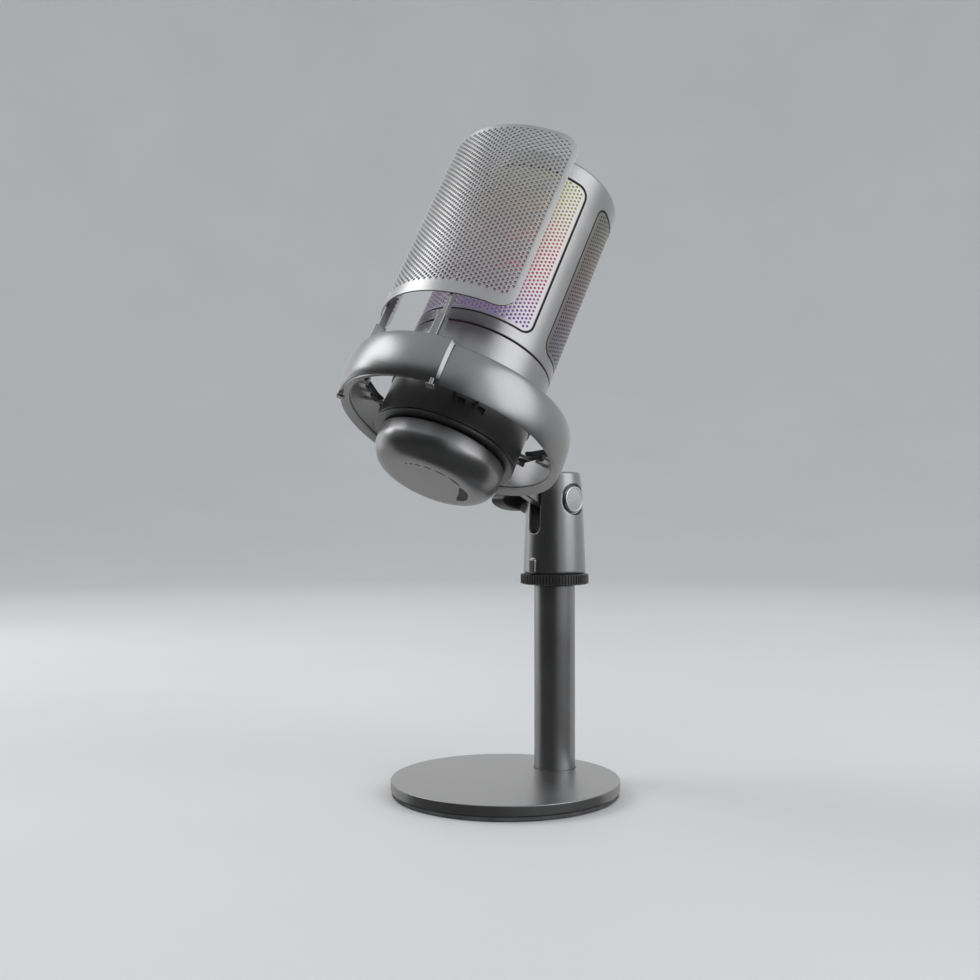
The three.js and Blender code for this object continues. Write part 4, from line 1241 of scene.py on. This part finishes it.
def build_head():
    inner = BODY_RADIUS - HEAD_WALL
    half_arc = math.radians(WINDOW_HALF_ANGLE) * BODY_RADIUS
    low, high = 1.0, 87.8
    window = window_hole((-half_arc, WINDOW_BOTTOM), (half_arc, WINDOW_TOP), WINDOW_CORNER)
    walls = [half_shell(BODY_RADIUS, inner, low, high, middle, [window], 0.3) for middle in (0, 180)]
    seat = HEAD_TOP - 1.8
    top = lathe([
        (BODY_RADIUS, high),
        *arc((BODY_RADIUS - 2, HEAD_TOP - 2), (2, 2), 0, 90, 10),
        (29.1, HEAD_TOP),
        (28.9, HEAD_TOP - 0.2),
        (28.9, seat),
        (25.6, seat),
        (25.6, seat - HEAD_WALL),
        (inner, seat - HEAD_WALL),
        (inner, high),
    ], FINE, False)
    bottom_edge = rounded([(inner, low), (inner, 0.35), (BODY_RADIUS, 0.35, 0.3), (BODY_RADIUS, low)])
    bottom = lathe(bottom_edge, FINE, False)
    shell = combined(*walls, top, bottom)
    piece("head_shell", shell, MIC, silver, "microphone", ["head_frame"])

    # Each grille is a perforated plate set just below the frame's surface, with a dark groove round it.
    groove = GRILLE_GROOVE
    radii = (BODY_RADIUS - 0.2, BODY_RADIUS - 1.3)
    reach = (half_arc - groove) * radii[0] / BODY_RADIUS
    hole_box = ((-reach + 1.35, WINDOW_BOTTOM + 2.0), (reach - 1.35, WINDOW_TOP - 1.9))
    for middle, node, paint in ((0, "grille_front", front_grille), (180, "grille_back", shaded_back_grille)):
        plate = perforated(
            reach, WINDOW_BOTTOM + groove, WINDOW_TOP - groove, WINDOW_CORNER - groove,
            hole_box, 3.6, GRILLE_PITCH, GRILLE_HOLE_RADIUS, radii, middle,
        )
        piece(f"{node}_mesh", plate, MIC, paint, "microphone", [node])
        # A black seal fills the groove to just below the surface.
        seal_outer = BODY_RADIUS - SEAL_DEPTH
        scale = seal_outer / BODY_RADIUS

        def window_edge(inset):
            across = (half_arc - inset) * scale
            corners = ((-across, WINDOW_BOTTOM + inset), (across, WINDOW_TOP - inset))
            return rounded_rectangle(*corners, WINDOW_CORNER - inset, 0.9)

        hole = window_edge(groove - 0.03)
        gasket = bent_plate(window_edge(0.03), [lambda cut: hole(-cut)], [], seal_outer, inner, 0.0, middle)
        piece(f"gasket_{middle}", gasket, MIC, rubber, "microphone")

    cap = lathe(rounded([
        (0, seat + 0.3),
        (28.6, seat + 0.3, 0.2),
        (28.6, HEAD_TOP - 0.2, 0.4),
        (25.4, HEAD_TOP - 0.2, 0.1),
        (25.2, HEAD_TOP - 0.5, 0.1),
        (24.8, HEAD_TOP - 0.5, 0.1),
        (24.6, HEAD_TOP - 0.2, 0.1),
        (9.0, HEAD_TOP - 0.35, 0.6),
        (7.6, HEAD_TOP - 0.75, 0.6),
        (0, HEAD_TOP - 0.8),
    ]))
    piece("cap_disc", cap, MIC, black_plastic, "microphone", ["top_cap"])
    glow_radius = BODY_RADIUS - 1.3 - 0.8
    glow_top = seat - HEAD_WALL - 0.5
    glow_inner = glow_radius - 1.4
    tube = lathe([(glow_inner, 2), (glow_radius, 2), (glow_radius, glow_top), (glow_inner, glow_top)])
    piece("glow_tube", tube, MIC, diffuser, "microphone", ["light_diffuser"])


def stadium(half_length, half_height, count=12):
    """A port's outline with round ends, centred on the third angle, grown by how far it is cut back."""

    def loop(cut):
        r = half_height + cut
        reach = half_length - half_height
        right = arc((reach, PORT_HEIGHT), (r, r), -90, 90, count)
        left = arc((-reach, PORT_HEIGHT), (r, r), 90, 270, count)
        return right + left

    return loop


def build_collar():
    inner = BODY_RADIUS - 2.4
    low, high = COLLAR_BOTTOM + 1, -1.0
    port = stadium(4.8, 1.9)
    jack_x = math.radians(JACK_ANGLE - 180) * BODY_RADIUS
    jack = circle_loop(jack_x, PORT_HEIGHT, 3.4, 40)
    windows = [
        {"loop": port, "clear": lambda p: math.hypot(p[0] / 2.2, p[1] - PORT_HEIGHT) > 3.4},
        {"loop": jack, "clear": lambda p: math.hypot(p[0] - jack_x, p[1] - PORT_HEIGHT) > 4.6},
    ]
    front = half_shell(BODY_RADIUS, inner, low, high, 0, [], 0.25)
    rear = half_shell(BODY_RADIUS, inner, low, high, 180, windows, 0.25)
    top_edge = rounded([(BODY_RADIUS, high), (BODY_RADIUS, -0.35, 0.3), (inner, -0.35), (inner, high)])
    bottom_edge = rounded([
        (inner, low),
        (inner, COLLAR_BOTTOM),
        (BODY_RADIUS, COLLAR_BOTTOM, 0.3),
        (BODY_RADIUS, low),
    ])
    top, bottom = (lathe(edge, FINE, False) for edge in (top_edge, bottom_edge))
    shell = combined(front, rear, top, bottom)
    piece("collar_shell", shell, MIC, silver, "microphone", ["body_collar"])


def build_ports():
    """The USB-C port, a drawn steel shell with a contact tongue inside, and the headphone jack."""
    face = BODY_RADIUS - GAP
    port_back = CORE_INNER + 0.2
    outwards = Matrix.Rotation(math.pi / 2, 4, "X")
    outer_loop = rounded_rectangle((-4.5, -1.6), (4.5, 1.6), 1.55, 0.5, 8)
    # Each row is how far the loop shrinks and how far out along the radius it lies.
    rows = [
        (0.0, port_back),
        (0.0, face - 0.1),
        (0.1, face),
        (0.3, face),
        (0.35, face - 0.1),
        (0.35, port_back + 0.8),
    ]
    verts = [(x, y, depth) for inset, depth in rows for x, y in outer_loop(inset)]
    shell = (verts, skin(len(rows), len(outer_loop(0))))
    tongue_loop = rounded_rectangle((-3.3, -0.35), (3.3, 0.35), 0.2, 0.6, 3)
    tongue = pillow_prism(tongue_loop, port_back + 0.7, face - 0.9, 0.1)
    radial = Matrix.Rotation(math.pi, 4, "Z") @ Matrix.Translation((0, 0, PORT_HEIGHT)) @ outwards
    piece("usb_shell", moved(shell, radial), MIC, steel, "microphone", ["usb_c_port"])
    piece("usb_tongue", moved(tongue, radial), MIC, black_plastic, "microphone")
    jack_body = lathe(rounded([
        (0, port_back),
        (3.1, port_back),
        (3.1, face, 0.3),
        (1.75, face, 0.25),
        (1.75, port_back + 0.8),
        (0, port_back + 0.8),
    ]), SMALL)
    jack_place = Matrix.Translation((0, 0, PORT_HEIGHT)) @ outwards
    jack = turned_to(moved(jack_body, jack_place), JACK_ANGLE)
    piece("jack_socket", jack, MIC, black_plastic, "microphone", ["headphone_jack"])


def build_barrel():
    """The cradle sleeve, with a pocket beside every cord hook, and the barrel's floor."""
    high = COLLAR_BOTTOM - GAP
    sleeve = lathe(rounded([
        (CORE_INNER, CRADLE_BOTTOM, 0.2),
        (CRADLE_RADIUS, CRADLE_BOTTOM, 0.4),
        (CRADLE_RADIUS, high, 0.3),
        (CORE_INNER, high, 0.2),
    ], True))
    angles = [place + side * CRADLE_HOOK_SPREAD for place in CORD_PLACES for side in (-1, 1)]
    depth = (CRADLE_RADIUS - 1.6, CRADLE_RADIUS + 2)
    pockets = [radial_block(a + math.copysign(6, a), *depth, 3.4, -35.4, -32.4, 0.2) for a in angles]
    lip = (CRADLE_BEND + 1.2, CRADLE_BEND + 2.6)
    hooks = []
    for angle in angles:
        hooks.extend(cord_hook(angle, CRADLE_HOOK_HEIGHT, (CRADLE_RADIUS - 0.6, lip[1]), lip))
    band = combined(as_part(boolean(sleeve, pockets)), *hooks)
    piece("cradle_band", band, MIC, dark_satin, "microphone", ["cradle_sleeve"])

    # The floor's rim shows as a thin lip below the sleeve.
    barrel = lathe(rounded([
        (4, BARREL_BOTTOM),
        (CRADLE_RADIUS, BARREL_BOTTOM, 0.5),
        (CRADLE_RADIUS, CRADLE_BOTTOM - GAP, 0.5),
        (4, CRADLE_BOTTOM - GAP),
    ], True))
    piece("barrel_shell", barrel, MIC, dark_satin, "microphone", ["lower_barrel"])


def build_knob():
    cavity = KNOB_RADIUS - 2.4
    floor = KNOB_BOTTOM + 6.5
    centre = (KNOB_RADIUS - KNOB_CORNER, KNOB_BOTTOM + KNOB_CORNER)
    corner = arc(centre, (KNOB_CORNER, KNOB_CORNER), -90, 0, 40)
    below = KNOB_TOP - 2
    rim = rounded([
        (KNOB_RADIUS, below),
        (KNOB_RADIUS, KNOB_TOP, 0.6),
        (cavity, KNOB_TOP, 0.3),
        (cavity, below),
    ])[1:-1]
    knob = lathe([
        (0, KNOB_BOTTOM),
        *corner,
        *rim,
        (cavity, KNOB_BOTTOM + KNOB_CORNER),
        (cavity - 5, floor),
        (6.0, floor),
        (6.0, KNOB_TOP - 1),
        (3.3, KNOB_TOP - 1),
        (3.3, KNOB_BOTTOM + 6.7),
        (0, KNOB_BOTTOM + 6.7),
    ], 256)
    piece("knob_shell", knob, MIC, knob_finish, "gain_knob", ["gain_knob"], 30)


def build_scale():
    """A printed level scale: each dash is longer than the one before, and the last is a crescent."""
    lengths = [4.3 * 1.45 ** number for number in range(SCALE_DASHES)] + [62.0]
    widths = [0.6 + 0.08 * number for number in range(SCALE_DASHES)] + [4.2]
    gap = 4.2
    start = 4.0
    for number, (length, width) in enumerate(zip(lengths, widths), 1):
        steps = 6 + 4 * number
        scale_radius = 17.2 - max(width / 2, 1.4)
        outer_edge, inner_edge = [], []
        for k in range(steps + 1):
            t = k / steps
            angle = math.radians(start + length * t)
            half = width / 2 * (1 - abs(2 * t - 1) ** 3 * 0.9)
            direction = Vector((math.sin(angle), -math.cos(angle)))
            outer_edge.append(direction * (scale_radius + half))
            inner_edge.append(direction * (scale_radius - half))
        outline = [tuple(p) for p in outer_edge + inner_edge[::-1]]
        dash = prism(outline, KNOB_BOTTOM - 0.05, KNOB_BOTTOM + 0.1)
        piece(f"scale_dash_{number}", dash, MIC, knob_mark, "gain_knob")
        start += length + gap


def dress_inside():
    screws = [f"chassis_screw_{number}" for number in (1, 2, 3)]
    for node in ("base_screw", "base_washer", *screws, "potentiometer", "pot_shaft"):
        dress(node, steel)
    for node in ("chassis_tube", "chassis_plate"):
        dress(node, black_plastic)
    for node in ("led_board", "main_board"):
        dress(node, board)
    dress("capsule", brass)
    dress("capsule_mount", rubber)


build_stand()
build_lock_ring()
build_fork()
build_thumb_knob()
build_ring()
build_cords()
build_clip()
build_pop_filter()
build_head()
build_collar()
build_ports()
build_barrel()
build_knob()
build_scale()
dress_inside()

# ---- Studio ------------------------------------------------------------------------------------

TO_CAMERA = math.radians(-43.5)  # the camera's direction in plan, from +X towards +Y


def studio_place(turn, reach, height):
    """A place round the object: turn is in degrees to the right of the camera, as seen from above."""
    angle = TO_CAMERA + math.radians(turn)
    return Vector((reach * math.cos(angle), reach * math.sin(angle), height))


def add_softbox(name, place, width, height, power):
    data = bpy.data.lights.new(name, "AREA")
    data.shape = "RECTANGLE"
    data.energy = power
    data.size = width
    data.size_y = height
    light = bpy.data.objects.new(name, data)
    bpy.context.scene.collection.objects.link(light)
    light.location = place
    light.rotation_euler = (Vector((0, 0, 0.16)) - place).to_track_quat("-Z", "Y").to_euler()
    light.visible_camera = False


def sweep(first, last, reach, steps=40):
    """Points on an arc round the object, between two turns to the right of the camera."""
    turns = [TO_CAMERA + math.radians(first + (last - first) * k / steps) for k in range(steps + 1)]
    return [(reach * math.cos(a), reach * math.sin(a)) for a in turns]


def add_flag_wall(name, first, last, reach, low, high, finish):
    """A curved wall that only shows in reflections, to give the metal its dark and light bands."""
    inner = sweep(first, last, reach)
    outer = [(1.01 * x, 1.01 * y) for x, y in inner]
    add_reflected(name, prism(inner[::-1] + outer, low, high), finish)


def add_reflected(name, shape, finish):
    """Something that only glossy reflections see."""
    card = add_object(name, to_mesh(name, shape, WORLD))
    card.data.materials.append(finish)
    card.visible_camera = False
    card.visible_diffuse = False
    card.visible_shadow = False
    card.visible_transmission = False


def glowing_card(name, level):
    """An evenly lit card, whatever light falls on it."""
    made = Nodes(name)
    made.set(Base_Color=(0, 0, 0, 1), Roughness=1.0)
    made.set(Emission_Color=(1, 1, 1, 1), Emission_Strength=level)
    return made.material


def add_table_half(name, first, last, level):
    """A wide half disc under the floor, which stands in for the table in reflections."""
    add_reflected(name, prism([(0, 0)] + sweep(first, last, 3000), -30, -25), glowing_card(name, level))


def build_studio():
    # The floor curves up all round into a pale wall, so there is no horizon from any side.
    flat, cove = 1600, 2200
    inside = [(0, -0.2), *arc((flat, cove - 0.2), (cove, cove), -90, 0, 60)]
    outside = [(flat + cove + 20, cove), (flat + cove + 20, -20), (0, -20)]
    floor = add_object("floor", to_mesh("floor", lathe(inside + outside, 128, False), WORLD))
    for face in floor.data.polygons:
        face.use_smooth = True
    paint = Nodes("floor_paint")
    mottle = paint.noise(paint.position(), 3.0, 4.0)
    paint.feed("Base Color", paint.ramp(mottle, [(0.3, (0.70, 0.71, 0.72)), (0.7, (0.73, 0.74, 0.75))]))
    paint.set(Roughness=0.7)
    floor.data.materials.append(paint.material)

    world = bpy.data.worlds.new("studio")
    bpy.context.scene.world = world
    world.use_nodes = True
    background = world.node_tree.nodes["Background"]
    background.inputs["Color"].default_value = (0.80, 0.815, 0.83, 1)
    background.inputs["Strength"].default_value = 0.78

    # Reflections see dark walls, and a table that is dim in front and lighter behind.
    floor.visible_glossy = False
    add_table_half("front_table", -95, 95, 0.045)
    add_table_half("back_table", 95, 265, 0.5)
    felt = glowing_card("flag_felt", 0.01)
    add_flag_wall("front_flag", -100, 12, 700, -20, 640, felt)
    add_softbox("right_box", studio_place(60, 1.0, 0.58), 0.85, 0.9, 4.2)
    add_flag_wall("back_card", 130, 230, 1500, 100, 700, glowing_card("back_card", 0.82))
    add_softbox("left_box", studio_place(-104, 1.0, 0.85), 0.75, 0.7, 5.0)
    add_softbox("left_rim", studio_place(-125, 0.9, 0.15), 0.25, 0.5, 0.3)


build_studio()

bpy.context.scene.view_settings.view_transform = "Standard"
